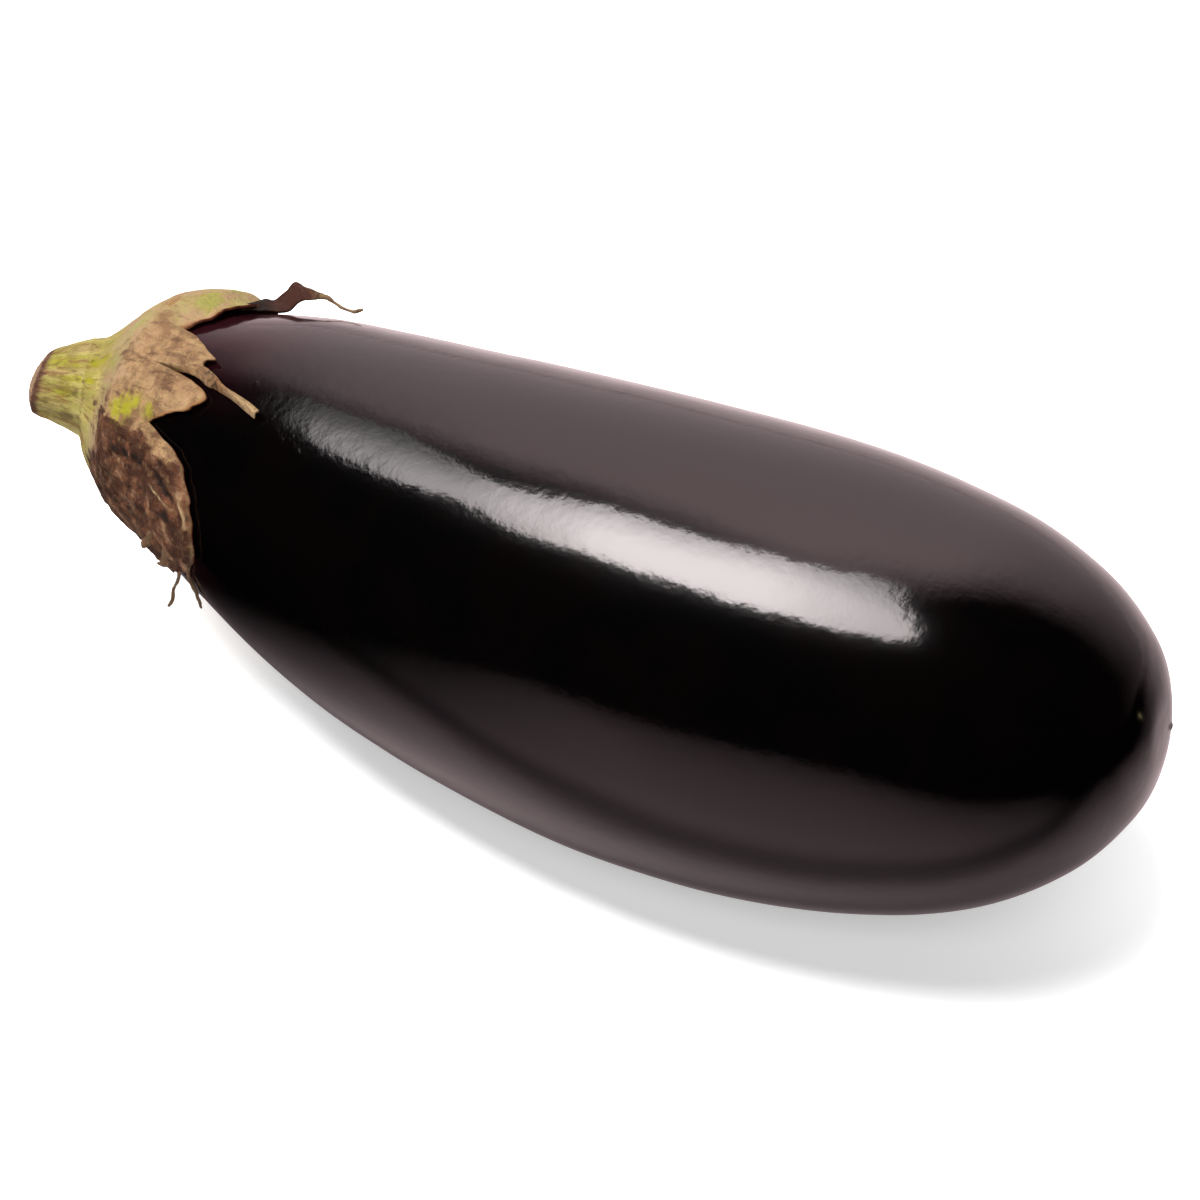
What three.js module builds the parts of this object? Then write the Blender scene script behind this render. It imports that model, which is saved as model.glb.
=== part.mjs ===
// Eggplant lying on its side: the berry, the five-lobed calyx that caps its neck, and the cut stem.
// Millimetres, +Z up, resting on Z = 0. The long axis runs along X, with the stem toward -X and the
// blossom end toward +X.
import * as THREE from 'three';
import { mergeVertices } from 'three/addons/utils/BufferGeometryUtils.js';

// ---- Driving dimensions ----

const FIT_GAP = 0.3; // clearance between neighbouring pieces

// Centre line of the berry and its stem, from the cut end of the stem to the blossom end: [x, y, height].
// The berry sags toward -Y like a shallow bow, and the stem crooks back across it. The thickest section
// stands 1 mm lower than its radius, so the belly is pressed flat where the berry lies.
const CENTRE_LINE = [
  [-138, -0.5, 45],
  [-128, 5, 43.2],
  [-118, 8, 42],
  [-86, 5.5, 41],
  [-45, 1.5, 39.5],
  [0, 0, 40.5],
  [45, 3, 44],
  [88, 10, 50],
];
const THICKEST_POINT = 5; // index of the centre line point at the widest section; stations count from it

// Half-section of the berry: [station, radius], from the flat seat of the stem to the blossom end.
const SEAT_STATION = -122.5;
const SEAT_RADIUS = 10.2;
const BERRY_PROFILE = [
  [SEAT_STATION, SEAT_RADIUS],
  [-120, 15.5],
  [-114, 19.5],
  [-104, 23],
  [-86, 29],
  [-60, 35],
  [-30, 39.5],
  [0, 41.5],
  [30, 40.5],
  [57, 35],
  [74, 26.5],
  [84, 16.5],
  [88, 8],
  [89, 0],
];

// Calyx: free edge of the cap, one row a point: [root angle, edge angle, station, rise off the skin].
// Angles go round from the side that faces -Y (0) over the top (90), and each lobe starts in a notch.
const NEAR_LOBE = [
  [38, 38.5, -104, 0], [42, 45, -100, 0.5], [46, 50, -94.5, 1], [51, 54.5, -92.5, 1],
  [55.5, 58.5, -92.5, 1], [59, 61.5, -95, 0.8], [62.5, 63, -102, 0.5], // a split frees a narrow strip
  [64.5, 60.5, -88, 1], [65.5, 57.5, -79, 1.5], [67, 59.5, -78, 1.5], [68.5, 63.5, -86, 1],
  [70, 68, -94, 0.8], [71.5, 69, -97, 0.8], [74, 72.5, -97.5, 0.8], [77, 78, -101, 0.8],
  [82, 83, -105, 0.5],
];
const TOP_LOBE = [
  [86, 87, -108, 0], [91, 93, -106.5, 2], [97, 101, -105, 2.5], [104, 109, -103.5, 2.5],
  [111, 117, -101.5, 2.5], [118, 124, -98, 2], [123, 128, -93, 3], [127, 131, -85, 2.5], // its dry tip
  [131, 135, -92, 2], [137, 140, -99, 1], [147, 148, -103, 1], [158, 158, -106, 1],
];
const PLAIN_LOBE = { points: 8, slimness: 1.6, rise: 1 };
const FAR_LOBE = plainLobe(169, 245, -108, -84);
const UNDER_LOBE = plainLobe(245, 320, -107, -83);
const LOW_LOBE = [
  [320, 320, -105, 0], [329, 328, -99, 0.5], [336, 335, -94, 0.5], [341, 341, -90, 0.5],
  [345, 346, -87, 0.5], [350, 352, -85.5, 0.5], [357, 359, -84.5, 0.5], [364, 366, -85, 0.5],
  [371, 373, -86, 0.5], [378, 380, -87.5, 0.5], [385, 386, -89.5, 0.5], [390, 390.5, -93, 0.5],
  [394, 394, -98, 0.3],
];

// Thickness of the cap by distance along the skin from the axis: [distance, thickness].
const CALYX_THICKNESS = [
  [9, 8.2], [10.2, 7.8], [13, 5.4], [17, 4], [24, 2.8], [34, 2.1], [45, 1.7], [60, 1.2],
];
const RISE_LATENESS = 4; // powers of the way out at which the cap leaves the skin
const FAN_LATENESS = 2; // and at which a lobe spreads from its root angle to its edge angle

// Stem: [station, radius] from its foot on the seat to the cut end, with shallow ribs along it.
const COLLAR_STATION = -130.5; // where it comes out of the calyx
const STEM_PROFILE = [
  [SEAT_STATION - FIT_GAP, 9], [-126, 9], [COLLAR_STATION, 9],
  [-135.5, 7.6], [-140.5, 6.5], [-141.3, 5.8],
];
const CUT_SLANT = 15; // degrees the cut face leans, its top set back toward the calyx
const STEM_RIBS = 9;
const STEM_RIB_DEPTH = 0.35;

// Mesh and curve steps.
const CENTRE_STEPS = 700;
const SKIN_STEPS = 600;
const SAMPLES_PER_ROW = 12;
const BERRY_STEPS = { along: 42, around: 60 };
const CALYX_STEPS = { along: 10, collar: 3, around: 150 };
const RIM_CROWDING = 1.3; // calyx rows stand closer together over the tight curve of the shoulder
const STEM_STEPS = { along: 12, around: 45 };

// A simple pointed lobe between two notches: its edge falls back from the tip on both sides.
function plainLobe(from, to, notchStation, tipStation) {
  const { points, slimness, rise } = PLAIN_LOBE;
  return Array.from({ length: points }, (_, i) => {
    const reach = Math.sin((Math.PI * i) / points) ** slimness;
    const angle = THREE.MathUtils.lerp(from, to, i / points);
    return [angle, angle, THREE.MathUtils.lerp(notchStation, tipStation, reach), i && rise];
  });
}

// ---- Centre line and frames ----

const UP = new THREE.Vector3(0, 0, 1);
const centreLine = new THREE.CatmullRomCurve3(CENTRE_LINE.map((p) => new THREE.Vector3(...p)));
centreLine.arcLengthDivisions = CENTRE_STEPS;
const arcLengths = centreLine.getLengths();
const wholeLength = arcLengths[arcLengths.length - 1];
const stemSideLength = arcLengths[(THICKEST_POINT * CENTRE_STEPS) / (CENTRE_LINE.length - 1)];

// Carries a point given about a straight axis (station, toward +Y, up) onto the curved centre line.
function ontoCentreLine(station, across, up) {
  const distance = station + stemSideLength;
  const at = THREE.MathUtils.clamp(distance / wholeLength, 0, 1);
  const tangent = centreLine.getTangentAt(at);
  const sideways = UP.clone().cross(tangent).normalize();
  const upward = tangent.clone().cross(sideways);
  return centreLine.getPointAt(at)
    .addScaledVector(tangent, distance - at * wholeLength)
    .addScaledVector(sideways, across)
    .addScaledVector(upward, up);
}

// A point of a round section: an angle of 0 faces -Y and 90 degrees is the top.
function ontoSection(station, radius, degrees) {
  const angle = THREE.MathUtils.degToRad(degrees);
  return ontoCentreLine(station, -radius * Math.cos(angle), radius * Math.sin(angle));
}

// ---- Helpers ----

const splineThrough = (rows) => new THREE.SplineCurve(rows.map((row) => new THREE.Vector2(...row)));

// Value at x of a smooth curve through [x, value] rows.
function smoothThrough(rows) {
  const samples = splineThrough(rows).getPoints(rows.length * SAMPLES_PER_ROW);
  return (x) => {
    const after = samples.findIndex((p) => p.x >= x);
    if (after === 0) return samples[0].y;
    if (after < 0) return samples[samples.length - 1].y;
    const [a, b] = [samples[after - 1], samples[after]];
    return THREE.MathUtils.mapLinear(x, a.x, b.x, a.y, b.y);
  };
}

// Revolves an outline of [a, b] rows and moves every vertex to place(a, b, part of the full turn).
function revolve(outline, steps, place) {
  const points = outline.map((row) => new THREE.Vector2(...row));
  const lathe = new THREE.LatheGeometry(points, steps);
  lathe.deleteAttribute('normal');
  lathe.deleteAttribute('uv');
  const position = lathe.getAttribute('position');
  for (let i = 0; i < position.count; i++) {
    const { x, y } = points[i % points.length];
    const column = (steps - Math.floor(i / points.length)) % steps;
    const at = place(x, y, column / steps);
    position.setXYZ(i, at.x, at.y, at.z);
  }
  return mergeVertices(lathe, 1e-4);
}

function mesh(name, geometry, color, roughness) {
  geometry.computeVertexNormals();
  const material = new THREE.MeshStandardMaterial({ color, roughness, metalness: 0 });
  const made = new THREE.Mesh(geometry, material);
  made.name = name;
  return made;
}

// ---- Berry ----

const skin = splineThrough(BERRY_PROFILE.map(([station, radius]) => [radius, station]));
const skinPoints = skin.getSpacedPoints(BERRY_STEPS.along).map((p) => [p.x, p.y]);
const berryOutline = [[0, SEAT_STATION], ...skinPoints.slice(0, -1), [0, skinPoints.at(-1)[1]]];

const berry = revolve(berryOutline, BERRY_STEPS.around, (radius, station, turn) => {
  const at = ontoSection(station, radius, 360 * turn);
  at.z = Math.max(at.z, 0);
  return at;
});

// ---- Calyx ----

// The skin by distance along it from the axis, over the seat and down the neck, with its outward normal.
const skinLength = skin.getLength();
function skinAt(distance) {
  if (distance <= SEAT_RADIUS) return { radius: distance, station: SEAT_STATION, out: 0, end: -1 };
  const at = (distance - SEAT_RADIUS) / skinLength;
  const point = skin.getPointAt(at);
  const tangent = skin.getTangentAt(at);
  return { radius: point.x, station: point.y, out: tangent.y, end: -tangent.x };
}

const skinSamples = skin.getSpacedPoints(SKIN_STEPS);
function distanceTo(station) {
  const index = skinSamples.findIndex((p) => p.y >= station);
  return SEAT_RADIUS + (skinLength * index) / SKIN_STEPS;
}

// The edge closes on itself: two curves share one parameter, for the angles and for station and rise.
const edgeRows = [...NEAR_LOBE, ...TOP_LOBE, ...FAR_LOBE, ...UNDER_LOBE, ...LOW_LOBE];
const [rootAngle, edgeAngle, ...notch] = edgeRows[0];
edgeRows.push([rootAngle + 360, edgeAngle + 360, ...notch]);
const edgeAngles = splineThrough(edgeRows.map((row) => row.slice(0, 2)));
const edgeReach = splineThrough(edgeRows.map((row) => row.slice(2)));
const thicknessAt = smoothThrough(CALYX_THICKNESS);
const holeRadius = STEM_PROFILE[0][1] + FIT_GAP;

// Rows of [part of the way from the hole to the edge, 0 on the inside or 1 on the outside].
const capRows = [];
const evenRuns = Array.from({ length: CALYX_STEPS.along + 1 }, (_, i) => i / CALYX_STEPS.along);
const runs = evenRuns.map((run) => run ** RIM_CROWDING);
for (let i = 0; i < CALYX_STEPS.collar; i++) capRows.push([0, i / CALYX_STEPS.collar]);
for (const run of runs) capRows.push([run, 1]);
for (const run of [...runs].reverse()) capRows.push([run, 0]);

const calyx = revolve(capRows, CALYX_STEPS.around, (run, outside, turn) => {
  const angles = edgeAngles.getPoint(turn);
  const reach = edgeReach.getPoint(turn);
  const distance = THREE.MathUtils.lerp(holeRadius, distanceTo(reach.x), run);
  const under = skinAt(distance);
  const height = FIT_GAP + reach.y * run ** RISE_LATENESS + outside * thicknessAt(distance);
  const angle = THREE.MathUtils.lerp(angles.x, angles.y, run ** FAN_LATENESS);
  return ontoSection(under.station + height * under.end, under.radius + height * under.out, angle);
});

// ---- Stem ----

const stemRadius = smoothThrough([...STEM_PROFILE].reverse());
const stemFoot = STEM_PROFILE[0][0];
const stemEnd = STEM_PROFILE.at(-1)[0];
const stemOutline = [[0, stemEnd]];
for (let i = 0; i <= STEM_STEPS.along; i++) {
  const station = THREE.MathUtils.lerp(stemEnd, stemFoot, i / STEM_STEPS.along);
  stemOutline.push([stemRadius(station), station]);
}
stemOutline.push([0, stemFoot]);

const cutSlope = Math.tan(THREE.MathUtils.degToRad(CUT_SLANT));
const stem = revolve(stemOutline, STEM_STEPS.around, (radius, station, turn) => {
  const around = 2 * Math.PI * turn;
  const ribbed = radius && radius - STEM_RIB_DEPTH * (0.5 - 0.5 * Math.cos(STEM_RIBS * around));
  const exposed = THREE.MathUtils.clamp((station - COLLAR_STATION) / (stemEnd - COLLAR_STATION), 0, 1);
  return ontoSection(station + exposed * ribbed * Math.sin(around) * cutSlope, ribbed, 360 * turn);
});

// ---- Assembly ----

const eggplant = new THREE.Group();
eggplant.add(
  mesh('fruit', berry, 0x1c1119, 0.12),
  mesh('calyx', calyx, 0x9a7c55, 0.75),
  mesh('stem', stem, 0xaeb35c, 0.7),
);

// The origin stands under the middle of the whole eggplant.
const middle = new THREE.Box3().setFromObject(eggplant).getCenter(new THREE.Vector3());
for (const piece of eggplant.children) piece.geometry.translate(-middle.x, -middle.y, 0);

export default eggplant;
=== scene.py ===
"""A glossy eggplant lying on a pale studio floor: the fruit, its dry calyx and the cut stem."""

import logging
import math
from dataclasses import dataclass, field
from enum import Enum

import bpy
import numpy as np
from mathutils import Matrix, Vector, noise


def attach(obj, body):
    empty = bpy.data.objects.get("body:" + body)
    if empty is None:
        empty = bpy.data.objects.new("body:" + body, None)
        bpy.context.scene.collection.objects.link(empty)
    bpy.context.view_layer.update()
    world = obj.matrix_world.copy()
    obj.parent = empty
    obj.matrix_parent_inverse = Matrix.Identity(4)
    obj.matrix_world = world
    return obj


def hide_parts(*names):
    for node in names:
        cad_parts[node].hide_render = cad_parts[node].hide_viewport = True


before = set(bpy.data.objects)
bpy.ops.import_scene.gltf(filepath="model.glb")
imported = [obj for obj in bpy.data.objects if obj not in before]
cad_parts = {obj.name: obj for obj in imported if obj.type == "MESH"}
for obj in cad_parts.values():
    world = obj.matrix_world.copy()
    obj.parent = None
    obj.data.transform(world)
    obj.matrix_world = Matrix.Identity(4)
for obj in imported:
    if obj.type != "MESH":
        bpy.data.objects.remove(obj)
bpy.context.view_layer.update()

MM = 0.001  # every size below is in millimetres, and the finished meshes are in metres
BODY = "root"

log = logging.getLogger("eggplant")

Array = np.ndarray
Row = tuple[float, ...]
Band = tuple[float, float]  # where a change starts and where it ends

LUMP_FALL = 1.0  # how fast finer lumps of noise lose height
LUMP_FINER = 2.0  # how much finer each octave of noise is
CURVE_SAMPLES = 400


# ---- Curves ----


def spline(rows: tuple[Row, ...], count: int) -> Array:
    """Samples a smooth curve that passes through every row.

    Args:
        rows: points of the curve, of any number of columns.
        count: how many samples to take, evenly in the curve's own parameter.

    Returns:
        The samples, one a row.
    """
    points = np.array(rows, float)
    padded = np.vstack([points[:1], points, points[-1:]])
    at = np.linspace(0, len(points) - 1, count)
    index = np.minimum(at.astype(int), len(points) - 2)
    w = (at - index)[:, None]
    a, b, c, d = (padded[index + k] for k in range(4))
    return 0.5 * (2 * b + (c - a) * w + (2 * a - 5 * b + 4 * c - d) * w**2 + (3 * b - a - 3 * c + d) * w**3)


def lengths(points: Array) -> Array:
    """Distance along a polyline to each of its points."""
    return np.concatenate([[0], np.cumsum(np.linalg.norm(np.diff(points, axis=0), axis=1))])


def evenly(points: Array, count: int) -> Array:
    """Samples a polyline at equal distances along it.

    Args:
        points: the polyline, one point a row.
        count: how many samples to take.

    Returns:
        The samples, one a row.
    """
    along = lengths(points)
    at = np.linspace(0, along[-1], count)
    return np.stack([np.interp(at, along, column) for column in points.T], 1)


def smooth_step(low: float, high: float, value: Array) -> Array:
    """Rises smoothly from 0 at low to 1 at high."""
    t = np.clip((value - low) / (high - low), 0, 1)
    return t * t * (3 - 2 * t)


@dataclass(frozen=True)
class Lumps:
    """Soft noise in space, by the size of its largest lumps in millimetres."""

    span: float
    octaves: int = 3  # how many times finer lumps are added
    seed: float = 0.0  # moves the pattern elsewhere

    def at(self, points: Array) -> Array:
        """Reads the noise.

        Args:
            points: places in millimetres, with x, y, z as the last axis.

        Returns:
            A value for each point, mostly between -1 and 1.
        """
        flat = (points / self.span + self.seed).reshape(-1, 3)
        values = [noise.fractal(Vector(p), LUMP_FALL, LUMP_FINER, self.octaves) for p in flat]
        return np.array(values).reshape(points.shape[:-1])


@dataclass(frozen=True)
class Window:
    """A range with soft ends, which opens over one band and closes over another."""

    opens: Band
    closes: Band

    def at(self, value: Array) -> Array:
        """1 inside the range and 0 outside it."""
        return smooth_step(*self.opens, value) * smooth_step(*self.closes, value)


@dataclass
class CentreLine:
    """The bent axis of the berry and its stem, from the cut end of the stem to the blossom end."""

    points: tuple[Row, ...] = (
        (-138, -0.5, 45), (-128, 5, 43.2), (-118, 8, 42), (-86, 5.5, 41), (-45, 1.5, 39.5),
        (0, 0, 40.5), (45, 3, 44), (88, 10, 50),
    )
    thickest: int = 5  # the point at the widest section, from which stations are counted
    middle: tuple[float, float] = (-26.78, 0.25)  # where the part's origin lies in these coordinates
    steps: int = 700

    def __post_init__(self) -> None:
        """Samples the curve, which is a Catmull-Rom curve with centripetal spacing."""
        given = np.array(self.points, float)
        p = np.vstack([2 * given[0] - given[1], given, 2 * given[-1] - given[-2]])
        at = np.linspace(0, len(given) - 1, self.steps + 1)
        index = np.minimum(at.astype(int), len(given) - 2)
        w = (at - index)[:, None]
        a, b, c, d = (p[index + k] for k in range(4))
        before, within, after = (
            np.sqrt(np.linalg.norm(q - r, axis=1))[:, None] for q, r in ((b, a), (c, b), (d, c))
        )
        start = ((b - a) / before - (c - a) / (before + within) + (c - b) / within) * within
        end = ((c - b) / within - (d - b) / (within + after) + (d - c) / after) * within
        bend = (-3 * b + 3 * c - 2 * start - end) * w**2 + (2 * b - 2 * c + start + end) * w**3
        self.curve = b + start * w + bend
        self.along = lengths(self.curve)
        self.tangents = np.gradient(self.curve, self.along, axis=0)
        self.stem_side = self.along[self.thickest * self.steps // (len(given) - 1)]

    def place(self, station: Array, across: Array, up: Array) -> Array:
        """Carries points given about a straight axis onto the bent one.

        Args:
            station: distance along the axis from the widest section, toward the blossom end.
            across: distance off the axis toward the far side.
            up: distance off the axis upward.

        Returns:
            The points in the part's frame, with x, y, z as the last axis.
        """
        distance = np.asarray(station, float) + self.stem_side
        on = np.clip(distance, 0, self.along[-1])
        centre = self._interpolate(on, self.curve)
        tangent = self._interpolate(on, self.tangents)
        tangent /= np.linalg.norm(tangent, axis=-1, keepdims=True)
        side = np.stack([-tangent[..., 1], tangent[..., 0], 0 * tangent[..., 0]], -1)
        side /= np.linalg.norm(side, axis=-1, keepdims=True)
        upward = np.cross(tangent, side)
        past = tangent * (distance - on)[..., None]
        placed = centre + past + side * np.asarray(across)[..., None] + upward * np.asarray(up)[..., None]
        return placed - np.array([*self.middle, 0])

    def section(self, station: Array, radius: Array, degrees: Array) -> Array:
        """Places points of round sections: an angle of 0 faces the near side and 90 is the top."""
        angle = np.radians(degrees)
        return self.place(station, -radius * np.cos(angle), radius * np.sin(angle))

    def _interpolate(self, at: Array, table: Array) -> Array:
        """Reads a table of vectors at distances along the curve."""
        return np.stack([np.interp(at, self.along, column) for column in table.T], -1)


@dataclass
class Skin:
    """The berry's outline as [station, radius] rows, from the seat of the stem to the blossom end."""

    profile: tuple[Row, ...] = (
        (-122.5, 10.2), (-120, 15.5), (-114, 19.5), (-104, 23), (-86, 29), (-60, 35), (-30, 39.5),
        (0, 41.5), (30, 40.5), (57, 35), (74, 26.5), (84, 16.5), (88, 8), (89, 0),
    )
    line: CentreLine = field(default_factory=CentreLine)
    samples: int = 4000

    def __post_init__(self) -> None:
        """Samples the outline and measures it."""
        self.seat, self.seat_radius = self.profile[0]
        self.outline = spline(self.profile, self.samples)
        self.along = lengths(self.outline) + self.seat_radius
        self.slope = np.gradient(self.outline, self.along, axis=0)

    @property
    def length(self) -> float:
        """Distance along the skin from the axis at the seat to the axis at the blossom end."""
        return float(self.along[-1])

    def distance_to(self, station: Array) -> Array:
        """Distance along the skin from the axis at the seat to a station."""
        return np.interp(station, self.outline[:, 0], self.along)

    def meridian(self, distance: Array, height: Array) -> tuple[Array, Array]:
        """Station and radius at a height off the skin.

        Args:
            distance: distance along the skin from the axis at the seat.
            height: height off the skin.

        Returns:
            The station and the radius of each point.
        """
        on_seat = distance <= self.seat_radius
        station = np.where(on_seat, self.seat, np.interp(distance, self.along, self.outline[:, 0]))
        radius = np.where(on_seat, distance, np.interp(distance, self.along, self.outline[:, 1]))
        outward = np.where(on_seat, 0, np.interp(distance, self.along, self.slope[:, 0]))
        endward = np.where(on_seat, -1, -np.interp(distance, self.along, self.slope[:, 1]))
        return station + height * endward, radius + height * outward

    def off(self, distance: Array, height: Array, degrees: Array) -> Array:
        """Places points at a height off the skin, at a distance along it."""
        return self.line.section(*self.meridian(distance, height), degrees)

    def over(self, station: Array, degrees: Array, height: Array) -> Array:
        """Places points at a height off the skin by their station."""
        return self.off(self.distance_to(station), height, degrees)


# ---- Meshes ----


class Ends(Enum):
    """How the first and last row of a grid of points are treated."""

    OPEN = "open"  # the rows close on each other, as on a ring
    POLES = "poles"  # each end closes in a point, the mean of its row


def linked(name: str, points: Array, faces: list[tuple[int, ...]]) -> bpy.types.Object:
    """Makes a mesh object from points in millimetres, and links it to the scene.

    Args:
        name: the object's name.
        points: its points in millimetres.
        faces: the numbers of each face's points.

    Returns:
        The new object.
    """
    mesh = bpy.data.meshes.new(name)
    mesh.from_pydata((np.array(points) * MM).tolist(), [], faces)
    made = bpy.data.objects.new(name, mesh)
    bpy.context.scene.collection.objects.link(made)
    return made


def store(piece: bpy.types.Object, name: str, value: Array) -> None:
    """Stores a number or a vector at each point of a mesh, one row a point."""
    kind, key = ("FLOAT_VECTOR", "vector") if value.shape[1] == 3 else ("FLOAT", "value")
    piece.data.attributes.new(name, kind, "POINT").data.foreach_set(key, value.astype(np.float32).ravel())


@dataclass
class Surface:
    """A closed mesh under construction: points, faces and one value a point for each mask."""

    points: Array
    faces: list[tuple[int, ...]]
    masks: dict[str, Array]

    @classmethod
    def from_grid(cls, grid: Array, ends: Ends, masks: dict[str, Array]) -> "Surface":
        """Joins a grid of points, whose columns close on themselves, into a surface.

        Args:
            grid: points by row and column.
            ends: how the first and last row close.
            masks: one array a mask, by row and column, or with a vector last.

        Returns:
            The surface, with its faces pointing out.
        """
        rows, columns = grid.shape[:2]
        index = np.arange(rows * columns).reshape(rows, columns)
        after = np.roll(index, -1, 1)
        if ends is Ends.OPEN:
            low, high = (index, after), (np.roll(index, -1, 0), np.roll(after, -1, 0))
        else:
            low, high = (index[:-1], after[:-1]), (index[1:], after[1:])
        faces = np.stack([low[0], low[1], high[1], high[0]], -1).reshape(-1, 4).tolist()
        points = grid.reshape(-1, 3)
        flat = {name: value.reshape(rows * columns, -1) for name, value in masks.items()}
        if ends is Ends.POLES:
            first, last = len(points), len(points) + 1
            faces += [[first, b, a] for a, b in zip(index[0], after[0])]
            faces += [[last, a, b] for a, b in zip(index[-1], after[-1])]
            points = np.vstack([points, grid[0].mean(0), grid[-1].mean(0)])
            for name, value in flat.items():
                flat[name] = np.vstack([value, value[index[0]].mean(0), value[index[-1]].mean(0)])
        surface = cls(points, faces, flat)
        return surface if surface.volume() > 0 else surface.turned()

    def volume(self) -> float:
        """Volume inside the surface, negative if its faces point in.

        Returns:
            The volume in cubic millimetres.
        """
        total = 0.0
        for size in (3, 4):
            corners = np.array([f for f in self.faces if len(f) == size], int)
            for k in range(1, size - 1):
                if len(corners):
                    a, b, c = (self.points[corners[:, i]] for i in (0, k, k + 1))
                    total += float(np.einsum("ij,ij->", a, np.cross(b, c))) / 6
        return total

    def turned(self) -> "Surface":
        """The same surface with its faces turned over."""
        return Surface(self.points, [f[::-1] for f in self.faces], self.masks)

    @staticmethod
    def joined(surfaces: list["Surface"]) -> "Surface":
        """Puts several surfaces with the same masks side by side in one.

        Args:
            surfaces: the surfaces to join.

        Returns:
            One surface that holds them all.
        """
        starts = np.cumsum([0] + [len(s.points) for s in surfaces])
        faces = [[i + start for i in f] for s, start in zip(surfaces, starts) for f in s.faces]
        masks = {name: np.vstack([s.masks[name] for s in surfaces]) for name in surfaces[0].masks}
        return Surface(np.vstack([s.points for s in surfaces]), faces, masks)

    def to_object(self, name: str) -> bpy.types.Object:
        """Makes a smooth-shaded Blender object in metres, with a point attribute for each mask.

        Args:
            name: the object's name.

        Returns:
            The new object.
        """
        made = linked(name, self.points, self.faces)
        for mask, value in self.masks.items():
            store(made, mask, value)
        made.data.polygons.foreach_set("use_smooth", [True] * len(made.data.polygons))
        made.data.update()
        return made


def dress(piece: bpy.types.Object, material: bpy.types.Material, node: str) -> None:
    """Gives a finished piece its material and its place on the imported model.

    Args:
        piece: the finished object.
        material: what it is covered with.
        node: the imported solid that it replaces.
    """
    piece.data.materials.append(material)
    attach(piece, BODY)
    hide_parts(node)
    log.info("%s: %d faces, %s", piece.name, len(piece.data.polygons), material.name)


# ---- Materials ----


def linear(code: str) -> tuple[float, float, float, float]:
    """Turns an sRGB colour such as "#80A0C0" into the linear colour that shaders take."""
    parts = [int(code[i : i + 2], 16) / 255 for i in (1, 3, 5)]
    return (*(c / 12.92 if c <= 0.04045 else ((c + 0.055) / 1.055) ** 2.4 for c in parts), 1.0)


@dataclass(frozen=True)
class Grain:
    """A soft noise pattern of a finish."""

    scale: float
    detail: float = 3.0
    roughness: float = 0.5


@dataclass(frozen=True)
class Relief:
    """A bump pattern, and its depth in metres."""

    grain: Grain
    depth: float


@dataclass(frozen=True)
class Ramp:
    """Carries low..high smoothly to start..end, and holds it there beyond."""

    low: float
    high: float
    start: float = 0.0
    end: float = 1.0


@dataclass(frozen=True)
class Coat:
    """A colour that is laid on where a pattern rises along a ramp."""

    pattern: str
    ramp: Ramp
    paint: str


Socket = bpy.types.NodeSocket
EVEN: Row = (1, 1, 1)  # a pattern that isn't drawn out


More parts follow.
